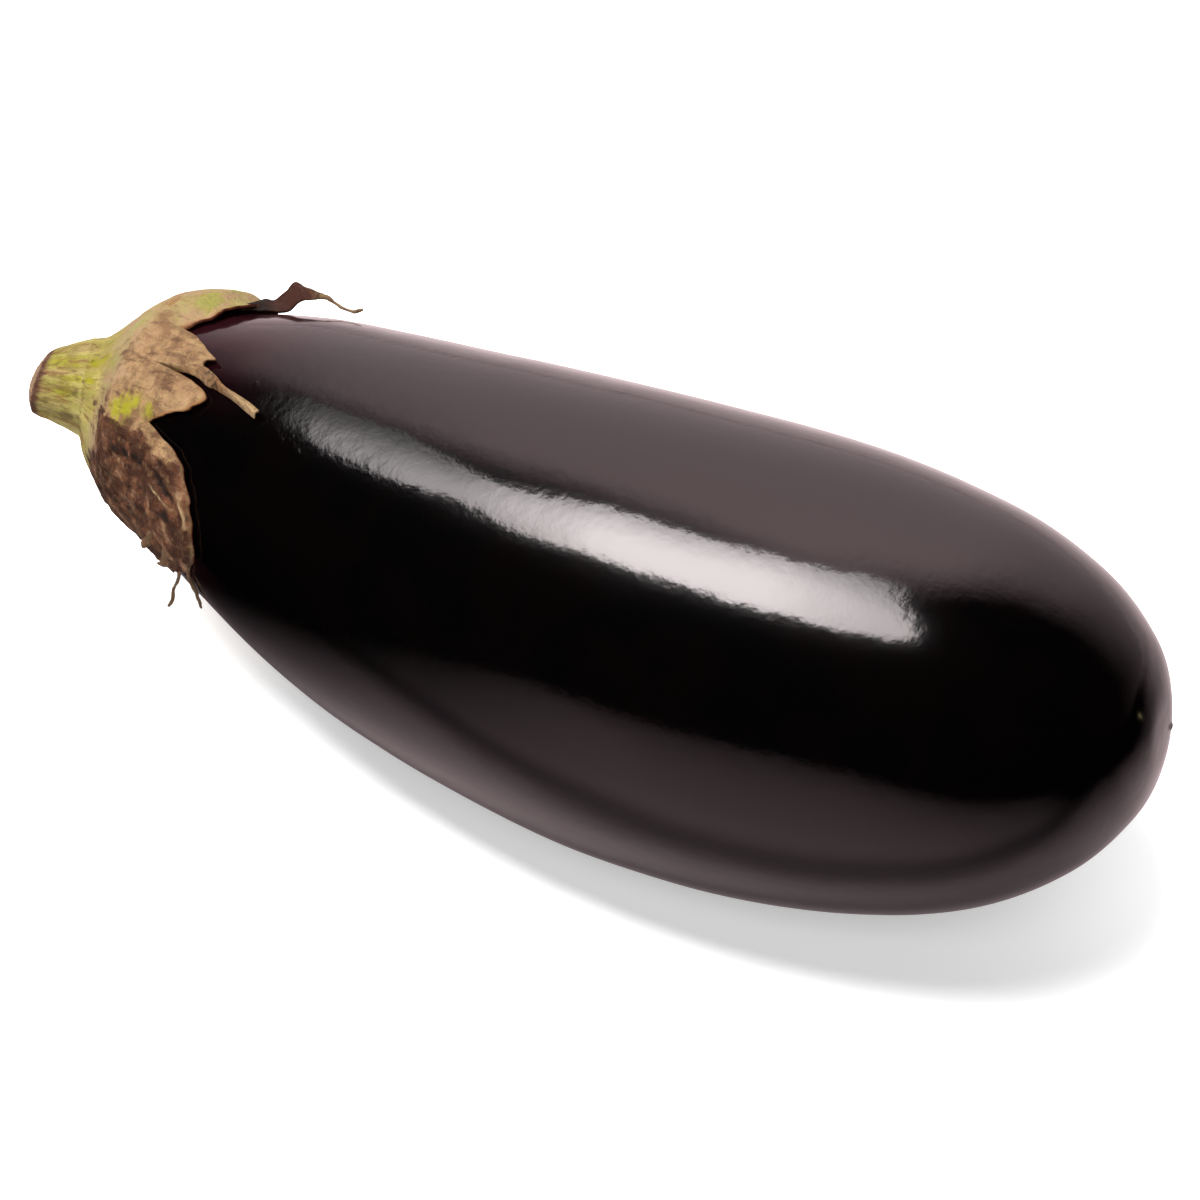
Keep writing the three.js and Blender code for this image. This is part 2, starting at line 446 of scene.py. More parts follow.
class Shader:
    """A node material under construction."""

    def __init__(self, name: str) -> None:
        """Starts with a plain surface shader joined to the output.

        Args:
            name: the material's name.
        """
        self.material = bpy.data.materials.new(name)
        self.material.use_nodes = True
        self.tree = self.material.node_tree
        self.surface = self.tree.nodes["Principled BSDF"]

    def node(self, kind: str, **inputs: object) -> bpy.types.Node:
        """Adds a node and sets its inputs.

        Args:
            kind: Blender's name for the node's type.
            inputs: values, or sockets to link from, by the input's name with _ for a space.

        Returns:
            The new node.
        """
        made = self.tree.nodes.new(kind)
        for key, value in inputs.items():
            self.feed(made, key.replace("_", " "), value)
        return made

    def feed(self, node: bpy.types.Node, key: str | int, value: object) -> None:
        """Sets one input of a node, or links it if the value is a socket.

        Args:
            node: the node.
            key: the input's name or number.
            value: what it is set to, or the socket to link from.
        """
        if isinstance(value, Socket):
            self.tree.links.new(value, node.inputs[key])
        else:
            node.inputs[key].default_value = value

    def mask(self, name: str) -> Socket:
        """A value stored at the mesh's points.

        Args:
            name: name of the point attribute.

        Returns:
            The value.
        """
        made = self.node("ShaderNodeAttribute")
        made.attribute_name = name
        return made.outputs["Fac"]

    def grain(self, name: str, scale: Row) -> Socket:
        """Coordinates stored at the mesh's points, stretched along each axis.

        Args:
            name: name of the point attribute.
            scale: how much each axis is stretched.

        Returns:
            The coordinates.
        """
        made = self.node("ShaderNodeAttribute")
        made.attribute_name = name
        return self.stretched(made.outputs["Vector"], scale)

    def stretched(self, vector: Socket, scale: Row) -> Socket:
        """Coordinates scaled along each axis."""
        return self.node("ShaderNodeMapping", Vector=vector, Scale=scale).outputs["Vector"]

    def place(self) -> Socket:
        """The object's own coordinates, in metres."""
        return self.node("ShaderNodeTexCoord").outputs["Object"]

    def noise(self, vector: Socket, grain: Grain) -> Socket:
        """Soft noise between 0 and 1.

        Args:
            vector: the coordinates that it is drawn in.
            grain: the pattern.

        Returns:
            The noise.
        """
        made = self.node("ShaderNodeTexNoise", Vector=vector, Scale=grain.scale)
        self.feed(made, "Detail", grain.detail)
        self.feed(made, "Roughness", grain.roughness)
        return made.outputs["Fac"]

    def span(self, value: Socket, ramp: Ramp) -> Socket:
        """Carries a value along a ramp.

        Args:
            value: the value.
            ramp: where it starts and ends.

        Returns:
            The carried value.
        """
        made = self.node("ShaderNodeMapRange", Value=value)
        made.interpolation_type = "SMOOTHSTEP"
        ends = {"From Min": ramp.low, "From Max": ramp.high, "To Min": ramp.start, "To Max": ramp.end}
        for key, number in ends.items():
            made.inputs[key].default_value = number
        return made.outputs["Result"]

    def math(self, operation: str, a: object, b: object) -> Socket:
        """One sum or product of two values.

        Args:
            operation: Blender's name for it.
            a: the first value.
            b: the second value.

        Returns:
            The result.
        """
        made = self.node("ShaderNodeMath")
        made.operation = operation
        self.feed(made, 0, a)
        self.feed(made, 1, b)
        return made.outputs[0]

    def mix(self, factor: object, first: object, second: object) -> Socket:
        """A blend of two colours, which are hex codes or sockets.

        Args:
            factor: how much of the second colour shows.
            first: the first colour.
            second: the second colour.

        Returns:
            The blend.
        """
        made = self.node("ShaderNodeMix")
        made.data_type = "RGBA"
        self.feed(made, 0, factor)
        for key, colour in ((6, first), (7, second)):
            self.feed(made, key, linear(colour) if isinstance(colour, str) else colour)
        return made.outputs[2]

    def coats(self, base: object, coats: tuple[Coat, ...], patterns: dict[str, Socket]) -> Socket:
        """Lays coats of colour over each other.

        Args:
            base: the colour below them.
            coats: the coats, lowest first.
            patterns: the pattern of each coat by its name.

        Returns:
            The colour on top.
        """
        for coat in coats:
            base = self.mix(self.span(patterns[coat.pattern], coat.ramp), base, coat.paint)
        return base

    def patches(self, base: object, coats: tuple[Coat, ...], blurs: Socket) -> Socket:
        """Lays coats that follow the masks of their names, with their edges broken up by blurs."""
        patterns = {coat.pattern: self.math("ADD", self.mask(coat.pattern), blurs) for coat in coats}
        return self.coats(base, coats, patterns)

    def bump(self, height: Socket, depth: float, normal: object = None) -> Socket:
        """A normal raised by a height between 0 and 1, as deep as depth in metres.

        Args:
            height: the height.
            depth: how deep it is.
            normal: the normal that it is laid on, if any.

        Returns:
            The raised normal.
        """
        made = self.node("ShaderNodeBump", Height=height, Distance=depth, Strength=1.0)
        if normal is not None:
            self.feed(made, "Normal", normal)
        return made.outputs["Normal"]

    def finish(self, colour: object, roughness: object, normal: object, ior: float) -> bpy.types.Material:
        """Joins the finished channels to the surface shader.

        Args:
            colour: the base colour.
            roughness: the roughness.
            normal: the normal.
            ior: the refraction index that sets the shine.

        Returns:
            The finished material.
        """
        self.feed(self.surface, "Base Color", colour)
        self.feed(self.surface, "Roughness", roughness)
        self.feed(self.surface, "Normal", normal)
        self.feed(self.surface, "IOR", ior)
        return self.material

    def replaced(self, surface: Socket) -> bpy.types.Material:
        """Puts another surface shader in the place of the plain one.

        Args:
            surface: the other shader.

        Returns:
            The finished material.
        """
        self.tree.links.new(surface, self.tree.nodes["Material Output"].inputs["Surface"])
        self.tree.nodes.remove(self.surface)
        return self.material


class RoomShader(Shader):
    """The world's shader under construction."""

    def __init__(self, name: str) -> None:
        """Starts with a plain background joined to the output.

        Args:
            name: the world's name.
        """
        world = bpy.data.worlds.new(name)
        bpy.context.scene.world = world
        world.use_nodes = True
        self.tree = world.node_tree
        self.surface = self.tree.nodes["Background"]


@dataclass(frozen=True)
class SkinFinish:
    """Smooth waxy skin, near-black purple, redder where the calyx has shaded it, and painted lighter mauve
    there on the upper side as a painted reflection of the pale room.
    """

    dark: str = "#020101"
    deep: str = "#010101"
    # on the neck's upper side this mauve is also a painted reflection of the pale room
    mauve_and_painted_reflection: str = "#1E080D"
    cork: str = "#5B4533"
    speck: str = "#4A4230"
    sheen: str = "#F6ECEC"  # tint of what the skin mirrors
    ior: float = 1.4
    gloss: float = 0.11
    scar_roughness: float = 0.8
    drawn: Row = (0.35, 1, 1)  # some patterns are drawn out along the fruit
    clouds: Grain = Grain(90)
    cloud_edge: Ramp = Ramp(0.35, 0.65)
    blush: Grain = Grain(260)
    blush_share: Ramp = Ramp(0.2, 0.7, 0.6, 1)
    worn_rise: Ramp = Ramp(0, 1, 1, 1.35)  # waves are higher where the skin is worn
    swell: Relief = Relief(Grain(130, 2), 0.00006)
    waves: tuple[Relief, ...] = (Relief(Grain(330, 3, 0.55), 0.00004), Relief(Grain(950, 2, 0.5), 0.000008))
    curls: Relief = Relief(Grain(340, 2, 0.6), 0.00007)
    curl_edge: Ramp = Ramp(0.42, 0.7)

    def build(self) -> bpy.types.Material:
        """Makes the skin's material.

        Returns:
            The material.
        """
        s = Shader("eggplant_skin")
        s.surface.inputs["Specular Tint"].default_value = linear(self.sheen)
        place = s.place()
        drawn = s.stretched(place, self.drawn)
        base = s.mix(s.span(s.noise(place, self.clouds), self.cloud_edge), self.deep, self.dark)
        # The neck's mauve: skin redder by the calyx, and a painted reflection of the pale room on its upper
        # side.
        blush = s.math("MULTIPLY", s.mask("neck"), s.span(s.noise(drawn, self.blush), self.blush_share))
        base = s.mix(blush, base, self.mauve_and_painted_reflection)
        scar = s.mask("scar")
        base = s.mix(scar, base, self.cork)
        base = s.mix(s.mask("specks"), base, self.speck)
        rough = s.math("MAXIMUM", self.gloss, s.math("MULTIPLY", scar, self.scar_roughness))
        rise = s.span(s.mask("worn"), self.worn_rise)
        normal = s.bump(s.noise(drawn, self.swell.grain), self.swell.depth)
        for wave in self.waves:
            normal = s.bump(s.math("MULTIPLY", rise, s.noise(place, wave.grain)), wave.depth, normal)
        curls = s.span(s.noise(place, self.curls.grain), self.curl_edge)
        normal = s.bump(s.math("MULTIPLY", s.mask("scuff"), curls), self.curls.depth, normal)
        return s.finish(base, rough, normal, self.ior)


@dataclass(frozen=True)
class StalkTone:
    """Colours of the living stalk, which run on from the stem into the neck of the calyx."""

    sand: str = "#77663E"
    green: str = "#6F6A2C"
    pale: str = "#887D46"
    yellow: str = "#757010"
    olive: str = "#3F3114"
    brown: str = "#5A381A"
    aged: str = "#574A12"
    drawn: Row = (1, 1, 0.3)
    streaks: Grain = Grain(0.6, 4, 0.6)
    streak_edge: Ramp = Ramp(0.4, 0.6)
    crests: Grain = Grain(0.35, 3)
    crest_share: Ramp = Ramp(0.35, 0.6, 0.2, 0.9)
    blurs: Grain = Grain(0.7, 4, 0.65)
    blur: Ramp = Ramp(0.3, 0.7, -0.35, 0.35)
    patches: tuple[Coat, ...] = (
        Coat("lime", Ramp(0.2, 0.8, 0, 0.95), yellow),
        Coat("olive", Ramp(0.2, 0.8, 0, 0.8), olive),
        Coat("rust", Ramp(0.2, 0.8, 0, 0.9), brown),
    )
    weather: Grain = Grain(0.5, 4, 0.6)
    weather_share: Ramp = Ramp(0.38, 0.62, 0.1, 0.75)
    blots: Grain = Grain(0.42, 5, 0.7)
    lines: Grain = Grain(0.45, 5, 0.65)
    marks: tuple[Coat, ...] = (
        Coat("blots", Ramp(0.55, 0.68, 0, 0.7), olive),
        Coat("lines", Ramp(0.54, 0.63, 0, 0.75), brown),
    )

    def colour(self, s: Shader) -> Socket:
        """Makes the stalk's colour: pale crests, green and sand between them, and blotches.

        Args:
            s: the shader under construction.

        Returns:
            The colour.
        """
        even = s.grain("grain", EVEN)
        drawn = s.grain("grain", self.drawn)
        base = s.mix(s.span(s.noise(drawn, self.streaks), self.streak_edge), self.green, self.sand)
        crest = s.math("MULTIPLY", s.mask("rib"), s.span(s.noise(drawn, self.crests), self.crest_share))
        base = s.mix(crest, base, self.pale)
        base = s.patches(base, self.patches, s.span(s.noise(even, self.blurs), self.blur))
        old = s.math("MULTIPLY", s.mask("aged"), s.span(s.noise(even, self.weather), self.weather_share))
        base = s.mix(old, base, self.aged)
        marks = {"blots": s.noise(even, self.blots), "lines": s.noise(drawn, self.lines)}
        return s.coats(base, self.marks, marks)


@dataclass(frozen=True)
class CalyxFinish:
    """Dry leathery calyx: tan and brown, pale where it is still fresh, black where it has shrivelled, with
    painted shade in its crack and along the top lobe's edge and painted highlights on ridges.
    """

    tan: str = "#775D41"
    dun: str = "#5E452F"
    straw: str = "#85714F"
    beige: str = "#786B45"
    leaf: str = "#6D6B30"
    blush: str = "#7B624A"
    umber: str = "#3B2518"
    earth: str = "#4C2C1B"
    bark: str = "#2C170D"
    lime: str = "#757016"
    rust: str = "#694728"
    # also laid as painted shade along the low lobe's crack
    soot_and_crack_shade: str = "#17100B"
    # the lining colour is also laid as painted shade along the top lobe's lifted edge
    lining_and_edge_shade: str = "#3D1A10"
    # ash is also laid as painted highlights on fold crests and along the low lobe's edge
    ash: str = "#806A4C"
    ior: float = 1.4
    shine: float = 0.15  # the dry skin mirrors very little
    drawn: Row = (1, 1, 0.22)
    patches: Grain = Grain(0.28, 4, 0.65)
    streaks: Grain = Grain(0.8, 4, 0.65)
    threads: Grain = Grain(2.2, 3, 0.6)
    flecks: Grain = Grain(1.1, 5, 0.7)
    dry_coats: tuple[Coat, ...] = (
        Coat("patches", Ramp(0.4, 0.6), tan),
        Coat("flecks", Ramp(0.48, 0.66, 0, 0.6), straw),
        Coat("streaks", Ramp(0.5, 0.66, 0, 0.65), umber),
    )
    brown_coats: tuple[Coat, ...] = (
        Coat("patches", Ramp(0.4, 0.58), earth),
        Coat("flecks", Ramp(0.52, 0.66, 0, 0.6), dun),
        Coat("streaks", Ramp(0.5, 0.6, 0, 0.85), bark),
        Coat("threads", Ramp(0.58, 0.7, 0, 0.5), dun),
    )
    fresh_coats: tuple[Coat, ...] = (
        Coat("patches", Ramp(0.42, 0.6), blush),
        Coat("streaks", Ramp(0.5, 0.66, 0, 0.55), tan),
    )
    leaf_coats: tuple[Coat, ...] = (Coat("leaf", Ramp(0.2, 0.8, 0, 0.85), leaf),)
    thread_coats: tuple[Coat, ...] = (Coat("threads", Ramp(0.55, 0.7, 0, 0.3), umber),)
    spot_coats: tuple[Coat, ...] = (
        Coat("rust", Ramp(0.15, 0.95, 0, 0.85), rust),
        Coat("olive", Ramp(0.15, 0.95, 0, 0.85), umber),
        Coat("lime", Ramp(0.15, 0.95, 0, 0.95), lime),
    )
    soot_coats: tuple[Coat, ...] = (Coat("soot_and_crack_shade", Ramp(0.25, 0.75), soot_and_crack_shade),)
    brown_edge: Ramp = Ramp(0.25, 0.75)
    brown_stray: Ramp = Ramp(0.3, 0.7, -0.35, 0.35)
    fresh_edge: Ramp = Ramp(0.15, 0.85)
    fresh_streaks: Ramp = Ramp(0.3, 0.7, 0.3, -0.3)
    fresh_stray: Ramp = Ramp(0.3, 0.7, -0.35, 0.35)
    young_edge: Ramp = Ramp(0.2, 0.8)
    young_stray: Ramp = Ramp(0.3, 0.7, -0.3, 0.3)
    blur: Ramp = Ramp(0.3, 0.7, -0.3, 0.3)
    soot_blur: Ramp = Ramp(0.3, 0.7, -0.4, 0.4)
    ash_share: Ramp = Ramp(0.35, 0.6, 0.3, 1)
    rough: Ramp = Ramp(0.2, 0.8, 0.55, 0.8)
    veins: Relief = Relief(Grain(1.6, 3, 0.6), 0.0004)
    pores: Relief = Relief(Grain(2.2, 4, 0.6), 0.0003)
    stalk: StalkTone = StalkTone()

    def build(self) -> bpy.types.Material:
        """Makes the calyx's material.

        Returns:
            The material.
        """
        s = Shader("dry_calyx")
        s.surface.inputs["Specular IOR Level"].default_value = self.shine
        even = s.grain("grain", EVEN)
        drawn = s.grain("grain", self.drawn)
        noises = {
            "patches": s.noise(even, self.patches),
            "streaks": s.noise(drawn, self.streaks),
            "threads": s.noise(drawn, self.threads),
            "flecks": s.noise(even, self.flecks),
        }
        patches, streaks, flecks = noises["patches"], noises["streaks"], noises["flecks"]
        blurs = s.span(flecks, self.blur)
        dry = s.coats(self.dun, self.dry_coats, noises)
        brown = s.math("ADD", s.mask("brown"), s.span(streaks, self.brown_stray))
        dry = s.mix(s.span(brown, self.brown_edge), dry, s.coats(self.bark, self.brown_coats, noises))
        fresh = s.coats(self.beige, self.fresh_coats, noises)
        fresh = s.patches(fresh, self.leaf_coats, blurs)
        ragged = s.math("ADD", s.mask("fresh"), s.span(streaks, self.fresh_streaks))
        ragged = s.math("ADD", ragged, s.span(patches, self.fresh_stray))
        base = s.mix(s.span(ragged, self.fresh_edge), dry, fresh)
        young = s.math("ADD", s.mask("young"), s.span(patches, self.young_stray))
        base = s.mix(s.span(young, self.young_edge), base, self.stalk.colour(s))
        base = s.coats(base, self.thread_coats, noises)
        base = s.patches(base, self.spot_coats, blurs)
        # Black where the calyx has shrivelled, and painted shade along its crack.
        base = s.patches(base, self.soot_coats, s.span(flecks, self.soot_blur))
        # Pale tips and fibres, and painted highlights on fold crests and along the low lobe's edge.
        pale_and_glint = s.math("MULTIPLY", s.mask("pale"), s.span(flecks, self.ash_share))
        base = s.mix(pale_and_glint, base, self.ash)
        # The lining inside the cap, and painted shade in a band along the top lobe's lifted edge.
        base = s.mix(s.mask("lining_and_edge_shade"), base, self.lining_and_edge_shade)
        veins = s.bump(s.noise(drawn, self.veins.grain), self.veins.depth)
        normal = s.bump(s.noise(even, self.pores.grain), self.pores.depth, veins)
        return s.finish(base, s.span(flecks, self.rough), normal, self.ior)


@dataclass(frozen=True)
class StemFinish:
    """Yellow-green ribbed stalk with brown streaks, and a dried brown cut face."""

    bark: str = "#3E2113"
    pith: str = "#7A6248"
    ior: float = 1.42
    shine: float = 0.3
    drawn: Row = (1, 1, 0.2)
    cut: Grain = Grain(0.7, 5, 0.65)
    cut_edge: Ramp = Ramp(0.42, 0.78)
    spots: Grain = Grain(0.6, 4, 0.6)
    rough: Ramp = Ramp(0.3, 0.7, 0.45, 0.7)
    streaks: Relief = Relief(Grain(0.9, 4, 0.6), 0.0004)
    pores: Relief = Relief(Grain(1.6, 4, 0.6), 0.0002)
    stalk: StalkTone = StalkTone()

    def build(self) -> bpy.types.Material:
        """Makes the stem's material.

        Returns:
            The material.
        """
        s = Shader("cut_stem")
        s.surface.inputs["Specular IOR Level"].default_value = self.shine
        even = s.grain("grain", EVEN)
        cut = s.mix(s.span(s.noise(even, self.cut), self.cut_edge), self.pith, self.bark)
        base = s.mix(s.mask("cut"), self.stalk.colour(s), cut)
        base = s.mix(s.mask("rim"), base, self.bark)
        streaks = s.bump(s.noise(s.grain("grain", self.drawn), self.streaks.grain), self.streaks.depth)
        normal = s.bump(s.noise(even, self.pores.grain), self.pores.depth, streaks)
        return s.finish(base, s.span(s.noise(even, self.spots), self.rough), normal, self.ior)


@dataclass(frozen=True)
class FloorFinish:
    """Pale matte studio floor."""

    paint: str = "#F2F2F2"
    roughness: float = 0.9
    glow: float = 0.3  # it is lit from below a little

    def build(self) -> bpy.types.Material:
        """Makes the floor's material.

        Returns:
            The material.
        """
        s = Shader("studio_floor")
        s.surface.inputs["Base Color"].default_value = linear(self.paint)
        s.surface.inputs["Roughness"].default_value = self.roughness
        s.surface.inputs["Specular IOR Level"].default_value = 0.0
        s.surface.inputs["Emission Color"].default_value = (1, 1, 1, 1)
        s.surface.inputs["Emission Strength"].default_value = self.glow
        return s.material


# ---- Fruit ----


@dataclass(frozen=True)
class Spot:
    """A soft-edged patch of the surface, round or stretched."""

    along: float  # station, or distance along the skin
    degrees: float
    long: float  # half length along the fruit
    wide: float  # half width round the section, in degrees
    strength: float = 1.0

    def cover(self, along: Array, degrees: Array) -> Array:
        """How far each point lies inside the patch, from 0 to its strength."""
        off = (degrees - self.degrees + 180) % 360 - 180
        return self.strength * np.exp(-(((along - self.along) / self.long) ** 2) - (off / self.wide) ** 2)


@dataclass(frozen=True)
class Crease:
    """A fold or crack along a line of [distance, angle] points."""

    path: tuple[Row, ...]
    width: float
    rise: float = 0.0  # height of the fold, negative for a crack
    girth: float = 25.0  # radius at which angles turn into lengths

    def cover(self, distance: Array, degrees: Array) -> Array:
        """How near each point lies to the line, from 0 to 1.

        Args:
            distance: distance of each point along the skin.
            degrees: angle of each point.

        Returns:
            The cover of each point.
        """
        across = self.girth * np.radians((degrees + 180) % 360 - 180)
        nearest = np.full(np.broadcast(distance, degrees).shape, np.inf)
        corners = [(d, self.girth * math.radians(a)) for d, a in self.path]
        for (d0, w0), (d1, w1) in zip(corners, corners[1:]):
            run, wide = d1 - d0, w1 - w0
            part = np.clip(((distance - d0) * run + (across - w0) * wide) / (run**2 + wide**2), 0, 1)
            nearest = np.minimum(nearest, np.hypot(distance - d0 - part * run, across - w0 - part * wide))
        return np.exp(-((nearest / self.width) ** 2))


def covered(marks: tuple[Spot | Crease, ...], along: Array, degrees: Array) -> Array:
    """The strongest cover of several marks at each point."""
    return np.max([mark.cover(along, degrees) for mark in marks], axis=0)


@dataclass
class Fruit:
    """The berry: one smooth body with faint lumps and a small scar where the blossom was."""

    skin: Skin
    rows: int = 230
    columns: int = 288
    seat_rings: int = 5
    lumps: Lumps = Lumps(36.0, 2)
    lump_height: float = 0.22
    lump_start: float = 15.0  # the lumps grow over this distance from the seat
    scar_place: tuple[float, float] = (5.5, 212.0)  # distance from the tip, and angle
    scar_radius: float = 1.5
    scar_fade: float = 0.9
    scar_narrow: float = 1.6
    scar_edge: Lumps = Lumps(1.5, 2)
    scar_stray: float = 0.5
    scar_grain: Lumps = Lumps(1.0, 3, 5.0)
    scar_rise: float = 0.25
    dimple_radius: float = 6.0
    dimple_depth: float = 0.4
    neck: Band = (-72, -102)  # the skin is redder along here on the upper side, partly its own colour and partly a painted reflection of the pale room
    neck_side: Band = (45, 90)
    worn: Band = (-5, -70)
    worn_side: Window = Window((20, 45), (150, 100))
    specks: tuple[Spot, ...] = (Spot(87, 50, 0.2, 2.4, 0.9), Spot(88, 11, 0.2, 2.4, 0.5))
    scuffs: tuple[Spot, ...] = (
        Spot(-71, 54, 2.2, 2.8, 0.8), Spot(-67.5, 52.5, 1.6, 1.6, 0.6), Spot(-75.5, 57.5, 1.6, 2, 0.6),
        Spot(-84.3, 68.5, 0.6, 1, 0.8), Spot(52, 51.5, 2.2, 1.2, 0.45),
    )

    def build(self) -> bpy.types.Object:
        """Makes the fruit's mesh.

        Returns:
            The object, with masks for the scar, the neck's redder skin and painted reflection, and the
            scuffed places.
        """
        skin = self.skin
        on_seat = np.linspace(0, skin.seat_radius, self.seat_rings + 1)[1:-1]
        on_skin = np.linspace(skin.seat_radius, skin.length, self.rows)[:-1]
        distance = np.concatenate([on_seat, on_skin])[:, None]
        degrees = np.arange(self.columns)[None, :] * 360 / self.columns
        distance, degrees = np.broadcast_arrays(distance, degrees)
        to_pole = skin.length - distance
        plain = skin.off(distance, np.zeros_like(distance), degrees)
        lumps = self.lump_height * self.lumps.at(plain)
        lumps *= smooth_step(skin.seat_radius, skin.seat_radius + self.lump_start, distance)
        dimple = -self.dimple_depth * np.exp(-((to_pole / self.dimple_radius) ** 2))
        away, toward = self.scar_place
        across = np.radians(degrees - toward)
        to_scar = np.hypot(to_pole * np.cos(across) - away, self.scar_narrow * to_pole * np.sin(across))
        to_scar = to_scar + self.scar_stray * self.scar_edge.at(plain)
        scar = smooth_step(self.scar_radius, self.scar_radius - self.scar_fade, to_scar)
        rough = scar * (self.scar_rise + self.scar_rise * self.scar_grain.at(plain))
        grid = skin.off(distance, lumps + dimple + rough, degrees)
        grid[..., 2] = np.maximum(grid[..., 2], 0)
        station = np.interp(distance, skin.along, skin.outline[:, 0])
        masks = {
            "scar": scar,
            # redder skin by the calyx, and a painted reflection on its upper side
            "neck": smooth_step(*self.neck, station) * smooth_step(*self.neck_side, degrees),
            "specks": covered(self.specks, station, degrees),
            "scuff": covered(self.scuffs, station, degrees),
            "worn": smooth_step(*self.worn, station) * self.worn_side.at(degrees),
        }
        return Surface.from_grid(grid, Ends.POLES, masks).to_object("fruit_skin")


# ---- Calyx ----

EdgeRow = tuple[float, float, float]


@dataclass(frozen=True)
class Ribs:
    """Low ridges round the stem that run on into the calyx."""

    count: int = 9
    depth: float = 0.42
    wander: float = 12.0  # degrees that a ridge strays sideways
    lumps: Lumps = Lumps(9.0, 2, 2.0)
    girth: float = 8.0
    drawn: float = 0.3
    broad: float = 0.7  # below 1, the crests are broader than the grooves

    def hollow(self, station: Array, degrees: Array) -> Array:
        """Depth below the crests at each point.

        Args:
            station: station of each point.
            degrees: angle of each point.

        Returns:
            The depth in millimetres.
        """
        turn = np.radians(degrees)
        place = np.stack([self.girth * np.cos(turn), self.girth * np.sin(turn), self.drawn * station], -1)
        stray = self.wander * self.lumps.at(place)
        crest = (0.5 + 0.5 * np.cos(self.count * np.radians(degrees + stray))) ** self.broad
        return self.depth * (1 - crest)


@dataclass(frozen=True)
class Border:
    """A strip along the cap's free edge, within a range of angles."""

    width: Band
    around: Window

    def cover(self, to_edge: Array, turn: Array) -> Array:
        """How far each point lies inside the strip, from 0 to 1."""
        return smooth_step(*self.width, to_edge) * self.around.at(turn)


